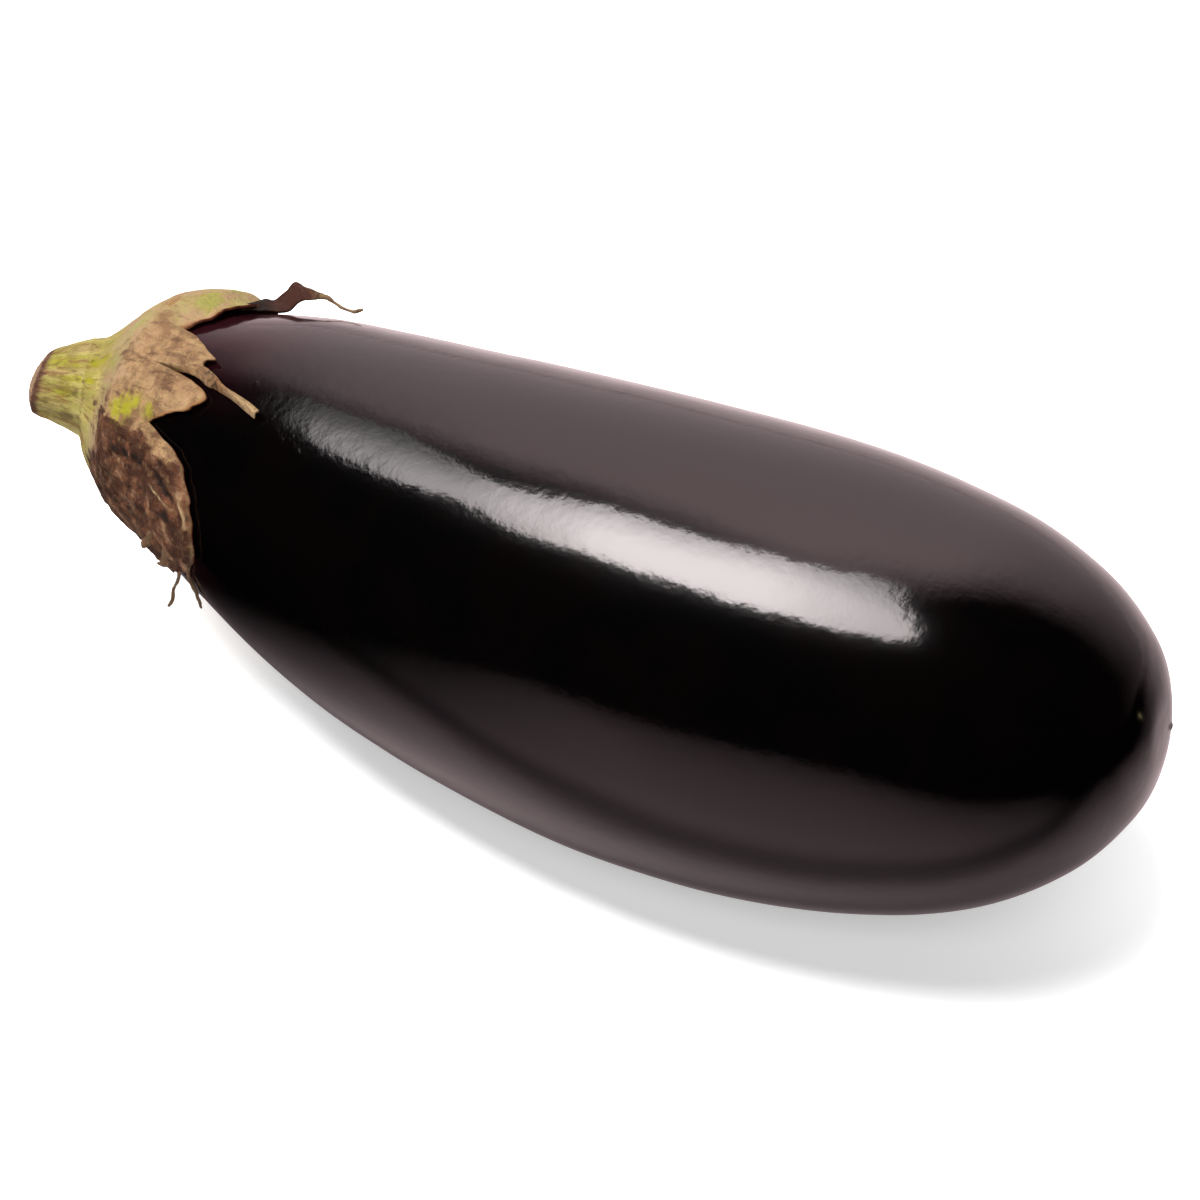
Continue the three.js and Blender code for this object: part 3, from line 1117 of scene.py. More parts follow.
@dataclass
class Cap:
    """The cup of the calyx with its lobes.

    Its free edge is given as [angle, station, rise off the skin] rows, going round from the near side
    over the top, and each lobe starts in a notch.
    """

    skin: Skin
    near_lobe: tuple[EdgeRow, ...] = (
        (37.4, -101.7, 0.2), (41.7, -99.3, 0.4), (44.6, -97.1, 0.6), (47, -95, 0.8), (49, -92.9, 0.8),
        (51.4, -91.8, 0.8), (53.5, -91, 0.7), (55.9, -90.6, 0.6), (57.9, -91.6, 0.6),
        (59.2, -93.6, 0.6), (60.3, -96, 0.6), (61.4, -99, 0.4),
        (62, -101.4, 0.3),  # inner end of the split
        (62.6, -99, 0.5), (63.4, -96.4, 0.8), (65, -95.4, 0.9), (67, -95, 0.9), (68.6, -95.6, 0.8),
        (70.2, -95.4, 0.8),
        (71.5, -94.2, 0.8),  # torn tooth
        (73, -95.7, 0.8), (75.3, -97.9, 0.6), (78, -100.2, 0.6), (81.9, -103.6, 0.4),
    )
    top_lobe: tuple[EdgeRow, ...] = (
        (85.5, -107.2, 0.3), (88.5, -107, 0.6), (92, -105.9, 0.9), (96, -104.8, 1.1),
        (101.5, -103.8, 1.2), (108.5, -102.8, 1.2), (116, -101.8, 1.2), (122, -100.8, 1.2),
        (128, -100.5, 1.2), (135, -101.5, 1.0), (144, -103.5, 0.8), (156, -106, 0.6),
    )
    far_lobe: tuple[EdgeRow, ...] = (
        (169, -108, 0.2), (176, -104, 0.5), (183, -98, 0.7), (190, -93, 0.8), (198, -88, 0.8),
        (205, -84.5, 0.9), (209, -83.8, 0.9), (214, -86, 0.8), (221, -91, 0.7), (229, -97.5, 0.6),
        (238, -104, 0.4),
    )
    under_lobe: tuple[EdgeRow, ...] = (
        (246, -107.5, 0.2), (254, -104, 0.5), (262, -97, 0.7), (270, -90.5, 0.8), (277, -85.5, 0.9),
        (282, -83, 0.9), (287, -84.5, 0.8), (294, -90, 0.8), (302, -97, 0.6), (311, -103.5, 0.4),
    )
    low_lobe: tuple[EdgeRow, ...] = (
        (319, -106, 0.2), (324, -102, 0.4), (329, -98, 0.5), (333, -95.5, 0.5), (337, -92, 0.5),
        (342, -90.6, 0.5), (346, -88, 0.5), (351, -85.8, 0.5), (356, -83.8, 0.5), (360.5, -83, 0.5),
        (365, -82.8, 0.5), (369.7, -83.6, 0.5), (374.3, -84.4, 0.5), (378, -85.6, 0.5),
        (382.2, -86.5, 0.5), (386.3, -87.9, 0.5), (389.4, -89, 0.5), (392.6, -91.2, 0.5),
        (394.6, -93.8, 0.5), (395, -96, 0.4), (396.3, -98.7, 0.3),
    )
    hole: float = 9.3
    lining_gap: float = 0.1
    # Thickness by distance along the skin from the axis, beyond the neck.
    crown: tuple[Row, ...] = ((9, 3.4), (20, 2.8), (26, 2.1), (34, 1.5), (45, 1.2), (60, 1))
    # The neck's outside as [distance, station, radius], over the top and down the near side.
    neck_over: tuple[Row, ...] = (
        (9.3, -130.6, 9.35), (10.5, -129.3, 9.5), (12, -127.6, 10.1), (14, -125.6, 12),
        (16.5, -123.4, 14.9), (19, -121.3, 17.8), (22, -118.5, 20.8), (26, -114.8, 23.2),
        (31, -110.2, 25.2),
    )
    neck_under: tuple[Row, ...] = (
        (9.3, -130.6, 9.35), (10.5, -129.9, 10.3), (12, -129.1, 12), (14, -127.8, 14.2),
        (16.5, -125.9, 16.6), (19, -123.5, 18.5), (22, -120.5, 20.1), (26, -116.5, 21.4),
        (31, -112, 22.6),
    )
    neck_join: Band = (21.0, 31.0)
    under_angle: float = -60.0
    ease_from: Band = (11.5, 15.0)
    ease_to: Band = (32.0, 27.0)
    ease_rounds: int = 90
    edge_thickness: float = 0.4
    edge_taper: float = 6.0
    lip: float = 0.006  # a close row keeps the lip round the stem crisp
    girth: float = 15.0  # radius at which the surface pattern is drawn
    columns: int = 640
    outer_rows: int = 96
    rim_rows: int = 4
    inner_rows: int = 18
    edge_samples: int = 6000
    degree: float = 0.5  # length of a degree round the edge
    jags: Lumps = Lumps(2.2, 4, 3.0)
    jag: float = 0.5
    torn: Window = Window((305, 318), (362, 350))  # the edge is more ragged here
    torn_more: float = 2.0
    wavers: Lumps = Lumps(5.0, 2, 9.0)
    waver: float = 0.4  # how much the edge rises and sinks
    least_rise: float = 0.05
    lift_power: int = 4
    probe: float = 0.4  # step along the outside that finds its slope
    rib_fade: Band = (24, 11)
    relief_edge: Band = (0.1, 2.0)  # the relief fades out at the free edge and round the stem
    relief_start: Band = (9.3, 11)
    fold_start: Band = (12, 22)
    vein_lumps: Lumps = Lumps(4.5, 3, 1.0)
    vein_drawn: Row = (1, 1, 0.15)
    vein_height: float = 0.16
    fine_lumps: Lumps = Lumps(1.5, 3, 4.0)
    fine_height: float = 0.08
    pucker_lumps: Lumps = Lumps(6.0, 4, 7.0)
    pucker_drawn: Row = (1, 1, 0.6)
    pucker_height: float = 0.35
    wrinkle_lumps: Lumps = Lumps(2.6, 3, 11.0)
    wrinkle_drawn: Row = (1, 1, 0.7)
    wrinkle_height: float = 0.34
    wrinkle_level: float = 0.5
    dried: Window = Window((-60, -40), (40, 28))
    dried_least: float = 0.25
    hem_place: float = 1.6  # the raised hem's distance from the edge
    hem_width: float = 0.8
    hem_height: float = 0.4
    hem_around: Window = Window((-30, -15), (36, 28))
    wander: Lumps = Lumps(7.0, 3, 2.0)
    turn_wander: float = 5.0
    collar: Band = (30, 17)  # the fresh collar ends along here
    collar_wander: float = 4.0
    top_around: Window = Window((74, 98), (178, 160))
    low_around: Window = Window((-70, -50), (37, 27))
    low_start: Band = (15, 22)
    low_wander: float = 2.0
    low_middle: float = 10.0  # at this angle the dried part reaches furthest up
    low_lean: float = 0.12
    young: Band = (19, 10)
    young_side: Band = (-30, 5)
    young_lean: Band = (2, 30)
    hems: tuple[Border, ...] = (
        Border((1.3, 0.2), Window((34, 42), (66, 58))),
        Border((1.6, 0.3), Window((80, 90), (135, 120))),
    )
    hem_rust: float = 0.9
    # painted highlight: a pale strip along the low lobe's free edge, on its raised hem
    edge_glint: Border = Border((1.0, 0.2), Window((-12, 0), (40, 34)))
    edge_glint_share: float = 0.2
    # painted shade: width of the dark band along the top lobe's lifted edge
    top_edge_shade_band: Band = (0.6, 0.15)
    inside_edge: Band = (0.3, 0.8)
    crack: tuple[Row, ...] = ((44.2, 22), (45.4, 20), (47.3, 18), (49.3, 17))
    creases: tuple[Crease, ...] = (
        Crease(crack, 0.5, -0.5),
        Crease(((40.5, 22), (43.3, 16.5), (45.7, 15.5), (48.2, 14)), 0.8, 0.3),
        Crease(((49.5, 20), (51.8, 17.5), (53.6, 13), (54.6, 6), (54, -3)), 0.9, 0.35),
        Crease(((25, 8), (30, 16), (34, 19), (37, 20), (39, 21)), 0.9, -0.4),
        Crease(((34.5, 27), (36.5, 29.5), (39, 30)), 0.8, 0.25),
        Crease(((28, -4), (33, 0), (38, 2), (43, 4), (48, 4)), 0.7, 0.35),
        Crease(((28, -16), (34, -14), (40, -11), (46, -7)), 0.7, 0.3),
        Crease(((26, 56), (31, 57), (36.5, 54), (42, 53)), 0.6, 0.25),
        Crease(((26, 68), (31, 69), (36, 71), (40, 71)), 0.6, 0.25),
    )
    fleshy: tuple[Spot, ...] = (Spot(-108, 115, 8, 28, 2.0),)
    sunken: tuple[Spot, ...] = (Spot(-99, 8, 8, 12, 0.3), Spot(-105, -60, 14, 45, 0.7))
    # Patches of colour, placed by distance along the skin and angle.
    leaf: tuple[Spot, ...] = (
        Spot(30.5, 104, 2.2, 9), Spot(30, 122, 3, 8), Spot(37, 106, 5, 11, 0.9),
        Spot(17, 60, 3, 9, 0.7), Spot(20, 84, 3, 9, 0.8), Spot(26, 62, 2, 5, 0.4),
    )
    lime: tuple[Spot, ...] = (
        Spot(27.3, 36, 2.0, 6.5), Spot(29.6, 39, 2.2, 6), Spot(31.8, 43, 1.8, 4.5, 0.9),
        Spot(36, 42, 1.6, 4.5, 0.9), Spot(11, 46, 2, 4, 0.8), Spot(12, 68, 3, 7, 0.6),
    )
    umber: tuple[Spot, ...] = (
        Spot(31.5, 33, 2.6, 3.5), Spot(28, 29.5, 1.5, 2.5, 0.8), Spot(14.5, 28, 1.2, 3),
        Spot(16.5, 12, 1.5, 9, 0.6), Spot(28.5, 53, 1, 4, 0.5), Spot(24, 17, 2.2, 4, 0.9),
        Spot(22.5, 5, 2, 5, 0.7), Spot(27, 25, 1.8, 3, 0.9), Spot(20.5, 29, 1.2, 3, 0.8),
        Spot(38, -8, 4, 8, 0.5), Spot(45, -4, 3, 6, 0.5),
    )
    rust: tuple[Spot, ...] = (
        Spot(25, 100, 1.8, 8, 0.8), Spot(22.3, 109, 1.8, 7, 0.7), Spot(28.3, 103, 1, 6, 0.5),
        Spot(21, 20, 3, 8, 0.4),
    )
    # Black where the calyx has shrivelled, and in the last entry painted shade along the crack.
    soot_and_crack_shade: tuple[Spot | Crease, ...] = (
        Spot(30, 19.5, 1.5, 2.5), Spot(33.5, 21, 2, 2.3), Spot(37.3, 22, 1.7, 2.3),
        Spot(34.5, 16.5, 1.5, 2, 0.7), Spot(49, 10, 1.6, 2.2, 0.9), Spot(47, 8, 1.2, 1.6, 0.6),
        Spot(36.5, 7, 0.7, 1.6, 0.8), Spot(41, 11, 0.8, 1.6, 0.6), Spot(30, -9, 0.8, 2, 0.7),
        Spot(28.4, 15, 1, 2, 0.7), Spot(45, 27, 0.7, 1.2, 0.8), Crease(crack, 0.55),
    )
    # Painted highlights along the crests of two folds beside the crack.
    pale: tuple[Crease, ...] = (
        Crease(((43.3, 16.5), (45.7, 15.5), (48.2, 14)), 0.2),
        Crease(((51.5, 17.5), (52.5, 16), (54, 11)), 0.25),
    )
    ribs: Ribs = Ribs()

    def build(self) -> Surface:
        """Makes the cap as one closed surface with its masks.

        Returns:
            The surface.
        """
        angle, station, rise = self._edge()
        round_edge = np.stack([angle * self.degree, station, 0 * angle], 1)
        station = station + self.jag * (1 + self.torn_more * self.torn.at(angle)) * self.jags.at(round_edge)
        rise = np.maximum(rise + self.waver * self.wavers.at(round_edge), self.least_rise)
        edge = self.skin.distance_to(station)
        run = self._runs()
        sheet = self._sheet()[:, None]
        distance = self.hole + run[:, None] * (edge - self.hole)
        degrees = np.broadcast_to(angle, distance.shape)
        to_edge = edge - distance
        lift = self.lining_gap + rise * run[:, None] ** self.lift_power
        inner = self.skin.meridian(distance, lift)
        outer = self._outside(distance, degrees, to_edge, lift)
        plain = self.skin.line.section(*outer, degrees)
        ahead = self._outside(distance + self.probe, degrees, to_edge - self.probe, lift)
        along, out = ahead[0] - outer[0], ahead[1] - outer[1]
        size = np.hypot(along, out)
        relief = self._relief(distance, degrees, to_edge)
        outer = outer[0] - relief * out / size, outer[1] + relief * along / size
        hollow = self.ribs.hollow(outer[0], degrees) * smooth_step(*self.rib_fade, distance)
        placed = [i + sheet * (o - i) for i, o in zip(inner, outer)]
        grid = self.skin.line.section(placed[0], placed[1] - hollow, degrees)
        grid += self._eased(plain, distance) * sheet[..., None]
        masks = self._masks(distance, degrees, to_edge, sheet)
        masks["rib"] = 1 - hollow / self.ribs.depth
        return Surface.from_grid(grid, Ends.OPEN, masks)

    def _eased(self, grid: Array, distance: Array) -> Array:
        """How far each point moves when the neck's bend into the shoulder is smoothed.

        Args:
            grid: points of the outside before its relief, by row and column.
            distance: distance of each point along the skin.

        Returns:
            The shift of each point.
        """
        weight = 0.5 * smooth_step(*self.ease_from, distance) * smooth_step(*self.ease_to, distance)
        weight = (weight * (np.arange(len(grid)) < self.outer_rows)[:, None])[1:-1, :, None]
        eased = grid.copy()
        for _ in range(self.ease_rounds):
            middle = (eased[:-2] + eased[2:]) / 2
            eased[1:-1] += weight * (middle - eased[1:-1])
        return eased - grid

    def _edge(self) -> tuple[Array, Array, Array]:
        """Samples the free edge evenly.

        Returns:
            Angle, station and rise off the skin of each column.
        """
        rows = self.near_lobe + self.top_lobe + self.far_lobe + self.under_lobe + self.low_lobe
        first = rows[0]
        curve = spline(rows + ((first[0] + 360, first[1], first[2]),), self.edge_samples)
        along = lengths(curve * np.array([self.degree, 1, 1]))
        at = np.linspace(0, along[-1], self.columns + 1)[:-1]
        return tuple(np.interp(at, along, column) for column in curve.T)

    def _runs(self) -> Array:
        """Part of the way from the hole to the edge of each row, outside first and then back inside.

        Returns:
            One value a row, from 0 at the hole to 1 at the edge.
        """
        out = np.concatenate([[0], np.linspace(self.lip, 1, self.outer_rows - 1)])
        rim = np.full(self.rim_rows, 1.0)
        back = np.linspace(1, 0, self.inner_rows)
        wall = np.zeros(self.rim_rows)
        return np.concatenate([out, rim, back, wall])

    def _sheet(self) -> Array:
        """Place of each row through the thickness, from 0 on the inside to 1 on the outside.

        Returns:
            One value a row.
        """
        out = np.ones(self.outer_rows)
        rim = 0.5 + 0.5 * np.cos(np.linspace(0, math.pi, self.rim_rows + 2))[1:-1]
        back = np.zeros(self.inner_rows)
        wall = np.linspace(0, 1 - self.lip, self.rim_rows)
        return np.concatenate([out, rim, back, wall])

    def _outside(self, distance: Array, degrees: Array, to_edge: Array, lift: Array) -> tuple[Array, Array]:
        """Station and radius of the outside before its relief.

        Args:
            distance: distance of each point along the skin.
            degrees: angle of each point.
            to_edge: distance of each point from the free edge.
            lift: height of the inside off the skin.

        Returns:
            The station and the radius of each point.
        """
        crown = spline(self.crown, CURVE_SAMPLES)
        station = np.interp(distance, self.skin.along, self.skin.outline[:, 0])
        body = np.interp(distance, crown[:, 0], crown[:, 1])
        body = body + sum(spot.cover(station, degrees) for spot in self.fleshy)
        body = body - sum(spot.cover(station, degrees) for spot in self.sunken)
        body = self.edge_thickness + (body - self.edge_thickness) * smooth_step(0, self.edge_taper, to_edge)
        shell = self.skin.meridian(distance, lift + body)
        under = 0.5 + 0.5 * np.cos(np.radians(degrees - self.under_angle))
        join = smooth_step(*self.neck_join, distance)
        over_rows, under_rows = (spline(rows, CURVE_SAMPLES) for rows in (self.neck_over, self.neck_under))
        blended = []
        for k in (1, 2):
            top = np.interp(distance, over_rows[:, 0], over_rows[:, k])
            low = np.interp(distance, under_rows[:, 0], under_rows[:, k])
            neck = top + (low - top) * under
            blended.append(neck + (shell[k - 1] - neck) * join)
        return blended[0], blended[1]

    def _grain(self, distance: Array, degrees: Array) -> Array:
        """Coordinates that follow the calyx: round it in x and y, and along it in z."""
        turn = np.radians(degrees)
        return np.stack([self.girth * np.cos(turn), self.girth * np.sin(turn), distance + 0 * turn], -1)

    def _relief(self, distance: Array, degrees: Array, to_edge: Array) -> Array:
        """Veins along the lobes, puckers and wrinkles where the calyx has dried, and a raised hem.

        Args:
            distance: distance of each point along the skin.
            degrees: angle of each point.
            to_edge: distance of each point from the free edge.

        Returns:
            The height of each point in millimetres.
        """
        grain = self._grain(distance, degrees)
        drawn = grain * np.array(self.vein_drawn)
        veins = 1 - 2 * np.abs(self.vein_lumps.at(drawn))
        puckers = self.pucker_lumps.at(grain * np.array(self.pucker_drawn))
        wrinkles = 1 - 2 * np.abs(self.wrinkle_lumps.at(grain * np.array(self.wrinkle_drawn)))
        turn = (degrees + 180) % 360 - 180
        dried = self.dried_least + (1 - self.dried_least) * self.dried.at(turn)
        hem = np.exp(-(((to_edge - self.hem_place) / self.hem_width) ** 2)) * self.hem_around.at(turn)
        folds = self.pucker_height * puckers + self.wrinkle_height * dried * (wrinkles - self.wrinkle_level)
        creases = sum(crease.rise * crease.cover(distance, degrees) for crease in self.creases)
        folds = folds + self.hem_height * hem + creases
        relief = self.vein_height * veins + self.fine_height * self.fine_lumps.at(drawn)
        relief = relief + smooth_step(*self.fold_start, distance) * folds
        return relief * smooth_step(*self.relief_edge, to_edge) * smooth_step(*self.relief_start, distance)

    def _masks(self, distance: Array, degrees: Array, to_edge: Array, sheet: Array) -> dict[str, Array]:
        """Masks that drive the calyx's colours.

        Args:
            distance: distance of each point along the skin.
            degrees: angle of each point.
            to_edge: distance of each point from the free edge.
            sheet: place of each row through the thickness.

        Returns:
            The masks by name.
        """
        grain = self._grain(distance, degrees)
        wander = self.wander.at(grain)
        turn = (degrees + 180 + self.turn_wander * wander) % 360 - 180
        inside = (1 - sheet) * np.ones_like(distance)
        collar = smooth_step(*self.collar, distance + self.collar_wander * wander)
        top = self.top_around.at(turn)
        reach = distance + self.low_wander * wander + self.low_lean * np.abs(turn - self.low_middle)
        low = self.low_around.at(turn) * smooth_step(*self.low_start, reach)
        hem = sum(hem.cover(to_edge, turn) for hem in self.hems)
        edge_glint = self.edge_glint.cover(to_edge, turn)
        # Painted shade under the top lobe's lifted edge, laid in the lining colour.
        top_edge_shade = smooth_step(*self.top_edge_shade_band, to_edge) * top
        lean, tall = self.young_lean
        young_turn = turn + lean * (tall - distance)
        young = smooth_step(*self.young, distance) * smooth_step(*self.young_side, young_turn)
        return {
            "grain": grain,
            "fresh": np.clip(np.maximum(collar, top) * (1 - low), 0, 1),
            "young": young,
            "leaf": covered(self.leaf, distance, degrees),
            "lime": covered(self.lime, distance, degrees),
            "olive": covered(self.umber, distance, degrees),
            "rust": np.clip(covered(self.rust, distance, degrees) + self.hem_rust * hem, 0, 1),
            "brown": low,
            "soot_and_crack_shade": covered(self.soot_and_crack_shade, distance, degrees),
            # pale tips, and painted highlights on fold crests and the low lobe's edge
            "pale": np.maximum(self.edge_glint_share * edge_glint, covered(self.pale, distance, degrees)),
            # the lining inside, and painted shade along the top lobe's edge
            "lining_and_edge_shade": np.maximum(smooth_step(*self.inside_edge, inside), top_edge_shade),
        }


LIVING = ("fresh", "young", "rib", "leaf", "lime", "olive")  # masks that are empty on a dried loose piece


@dataclass
class Blade:
    """A thin curled strip between two edges, each a row of [station, angle, height off the skin]."""

    skin: Skin
    upper: tuple[Row, ...]
    lower: tuple[Row, ...]
    bulge: float
    thickness: float
    shades: tuple[Row, ...]  # values of soot, rust, pale and lining along the strip
    along: int = 90
    across: int = 16
    crinkles: Lumps = Lumps(2.2, 3, 2.0)
    crinkle: float = 0.22
    taper_ends: Band = (0.02, 0.98)
    taper_power: float = 0.3
    brown: float = 0.4
    drawn_width: float = 4.0  # width of the strip in the surface pattern

    def build(self) -> Surface:
        """Makes the strip as one closed surface with its masks.

        Returns:
            The surface.
        """
        edges = [evenly(spline(rows, CURVE_SAMPLES), self.along) for rows in (self.upper, self.lower)]
        top, low = (self.skin.over(e[:, 0], e[:, 1], e[:, 2]) for e in edges)
        out = self.skin.over(edges[0][:, 0], edges[0][:, 1], edges[0][:, 2] + 1) - top
        run = np.linspace(0, 1, self.along)
        part = np.linspace(0, 1, self.across)
        swell = self.bulge * np.sin(math.pi * part)[None, :] * np.ones((self.along, 1))
        sheet = top[:, None] + (low - top)[:, None] * part[None, :, None] + out[:, None] * swell[..., None]
        sheet = sheet + self.crinkle * self.crinkles.at(sheet)[..., None] * out[:, None]
        across, forward = np.gradient(sheet, axis=1), np.gradient(sheet, axis=0)
        normal = np.cross(across, forward)
        normal /= np.linalg.norm(normal, axis=-1, keepdims=True)
        if np.sum(normal * out[:, None]) < 0:
            normal = -normal
        taper = self.thickness * np.sin(math.pi * np.clip(run, *self.taper_ends)) ** self.taper_power
        back = (sheet - normal * taper[:, None, None])[:, ::-1]
        grid = np.concatenate([sheet, back], 1)
        stops = np.linspace(0, 1, len(self.shades))
        shades = (np.interp(run, stops, values) for values in zip(*self.shades))
        soot_and_crack_shade, rust, pale, lining_and_edge_shade = (value[:, None] * np.ones(grid.shape[:2]) for value in shades)
        stretch = lengths(top)[:, None] * np.ones(grid.shape[:2])
        width = np.linspace(0, self.drawn_width, grid.shape[1])[None, :] * np.ones(grid.shape[:2])
        none = np.zeros(grid.shape[:2])
        masks = {
            "grain": np.stack([width, none, stretch], -1),
            **{name: none for name in LIVING},
            "rust": rust,
            "brown": none + self.brown,
            "soot_and_crack_shade": soot_and_crack_shade,
            "pale": pale,
            "lining_and_edge_shade": lining_and_edge_shade,
        }
        return Surface.from_grid(grid, Ends.POLES, masks)


@dataclass
class Strand:
    """A dry fibre along [station, angle, height off the skin, thickness] rows."""

    skin: Skin
    rows: tuple[Row, ...]
    soot_and_crack_shade: float = 0.35
    pale: float = 0.25
    along: int = 60
    around: int = 10
    strays: tuple[Lumps, ...] = (Lumps(2.0, 2, 7.0), Lumps(2.0, 2, 14.0), Lumps(2.0, 2, 21.0))
    stray: float = 0.12
    knots: Lumps = Lumps(1.5, 2, 5.0)
    knot: float = 0.25
    sideways: Row = (0.2, 0.3, 0.93)  # the ring's first spoke is square to this

    def build(self) -> Surface:
        """Makes the fibre as one closed surface with its masks.

        Returns:
            The surface.
        """
        curve = spline(self.rows, self.along)
        path = self.skin.over(curve[:, 0], curve[:, 1], curve[:, 2])
        path = path + self.stray * np.stack([lumps.at(path) for lumps in self.strays], -1)
        tangent = np.gradient(path, axis=0)
        tangent /= np.linalg.norm(tangent, axis=1, keepdims=True)
        side = np.cross(tangent, self.sideways)
        side /= np.linalg.norm(side, axis=1, keepdims=True)
        other = np.cross(tangent, side)
        turn = np.linspace(0, 2 * math.pi, self.around, endpoint=False)
        radius = curve[:, 3] / 2 * (1 + self.knot * self.knots.at(path))
        ring = side[:, None] * np.cos(turn)[None, :, None] + other[:, None] * np.sin(turn)[None, :, None]
        grid = path[:, None] + ring * radius[:, None, None]
        ones = np.ones(grid.shape[:2])
        masks = {
            "grain": np.stack([ones, ones, lengths(path)[:, None] * ones], -1),
            **{name: 0 * ones for name in (*LIVING, "rust", "lining_and_edge_shade")},
            "brown": ones,
            "soot_and_crack_shade": self.soot_and_crack_shade * ones,
            "pale": self.pale * ones,
        }
        return Surface.from_grid(grid, Ends.POLES, masks)


@dataclass
class Calyx:
    """The whole calyx: the cap, its torn strip, the dry tip of its top lobe and the shreds below."""

    skin: Skin
    # Flakes on the low lobe's torn edge, and then the loose fibres that hang from it.
    shreds: tuple[tuple[Row, ...], ...] = (
        ((-95.2, -6, 1.1, 1.2), (-95.6, -10, 1.7, 1.7), (-96.4, -13, 2.3, 1.4), (-96.2, -14, 2.9, 0.6)),
        ((-90.8, -6, 0.9, 1.5), (-91.0, -12, 1.2, 1.9), (-92.2, -17, 1.6, 1.3), (-93.6, -19, 2.1, 0.5)),
        (
            (-88, -12, 0.5, 0.7), (-89.6, -20, 0.6, 0.7), (-91, -27, 1.0, 0.6), (-91.7, -32, 2.6, 0.6),
            (-91.5, -36, 4.1, 0.75), (-91.8, -38, 5.7, 0.5),
        ),
        (
            (-85, -6, 0.5, 0.7), (-86.5, -14, 0.4, 0.7), (-85.8, -20, 0.5, 0.7), (-86.2, -27, 0.6, 0.7),
            (-86.9, -34, 1.0, 0.6), (-87.2, -38, 1.6, 0.4),
        ),
    )

    def build(self) -> bpy.types.Object:
        """Makes the calyx's mesh.

        Returns:
            The object.
        """
        shreds = [Strand(self.skin, path).build() for path in self.shreds]
        parts = [Cap(self.skin).build(), self._torn_strip(), self._dry_tip(), self._tail(), *shreds]
        return Surface.joined(parts).to_object("calyx_cap")

    def _torn_strip(self) -> Surface:
        """The narrow strip that the split frees from the near lobe, rolled at its end.

        Returns:
            The surface.
        """
        return Blade(
            self.skin,
            upper=(
                (-100, 66.5, 1.2), (-95.3, 67.1, 1.5), (-91.4, 65.1, 1.4), (-89.3, 63.3, 1.3),
                (-87.4, 62, 1.2), (-84.7, 61.2, 1.2), (-81.2, 60.1, 1.4), (-78, 58.7, 1.5),
            ),
            lower=(
                (-100, 62.6, 0.9), (-95.1, 62, 0.9), (-92.4, 60.4, 0.6), (-90.4, 60.4, 0.5),
                (-88.2, 59.7, 0.5), (-84.6, 58.4, 0.6), (-81.4, 56.9, 0.8), (-78.4, 55.8, 1.0),
            ),
            bulge=0.7,
            thickness=0.45,
            shades=(
                (0.2, 0.2, 0.1, 0), (0.3, 0.5, 0.2, 0), (0.45, 0.4, 0.1, 0), (0.4, 0.8, 0, 0),
                (0.1, 0.3, 0.7, 0), (0, 0, 0.8, 0), (0, 0, 1, 0),
            ),
        ).build()

    def _dry_tip(self) -> Surface:
        """The shrivelled tip of the top lobe, which stands off the fruit.

        Returns:
            The surface.
        """
        return Blade(
            self.skin,
            upper=(
                (-104.5, 114, 1.8), (-102.6, 119, 2.2), (-101.4, 123, 2.8), (-100, 126, 3.0),
                (-98.6, 127, 4.4), (-97.3, 128, 6.3), (-95.2, 129, 5.6), (-93, 130, 4.8),
                (-91, 130, 4.2),
            ),
            lower=(
                (-103, 112, 0.8), (-101.4, 117, 0.7), (-100, 120, 0.6), (-98.3, 122, 0.6),
                (-96.6, 124, 0.8), (-95.6, 125, 2.2), (-94.4, 126, 3.0), (-92.6, 128, 3.4),
                (-91, 129.6, 3.6),
            ),
            bulge=0.5,
            thickness=0.5,
            shades=(
                (0.8, 0.2, 0, 0.2), (1.3, 0, 0, 0), (1.3, 0, 0, 0), (1.3, 0, 0, 0.35),
                (1.1, 0, 0, 0.45), (0.6, 0.5, 0, 0.4), (0.5, 0.3, 0.2, 0),
            ),
        ).build()

    def _tail(self) -> Surface:
        """The thread that the dry tip ends in.

        Returns:
            The surface.
        """
        return Strand(
            self.skin,
            (
                (-92.4, 129.6, 4.1, 1.3), (-91, 130, 3.9, 1.0), (-89.6, 131, 3.1, 0.7),
                (-87.5, 131, 2.2, 0.6), (-85.6, 131, 1.8, 0.65), (-84.6, 131, 2.1, 0.75),
                (-83.8, 131, 2.5, 0.6),
            ),
            soot_and_crack_shade=0.3,
            pale=0.45,
        ).build()


# ---- Stem ----


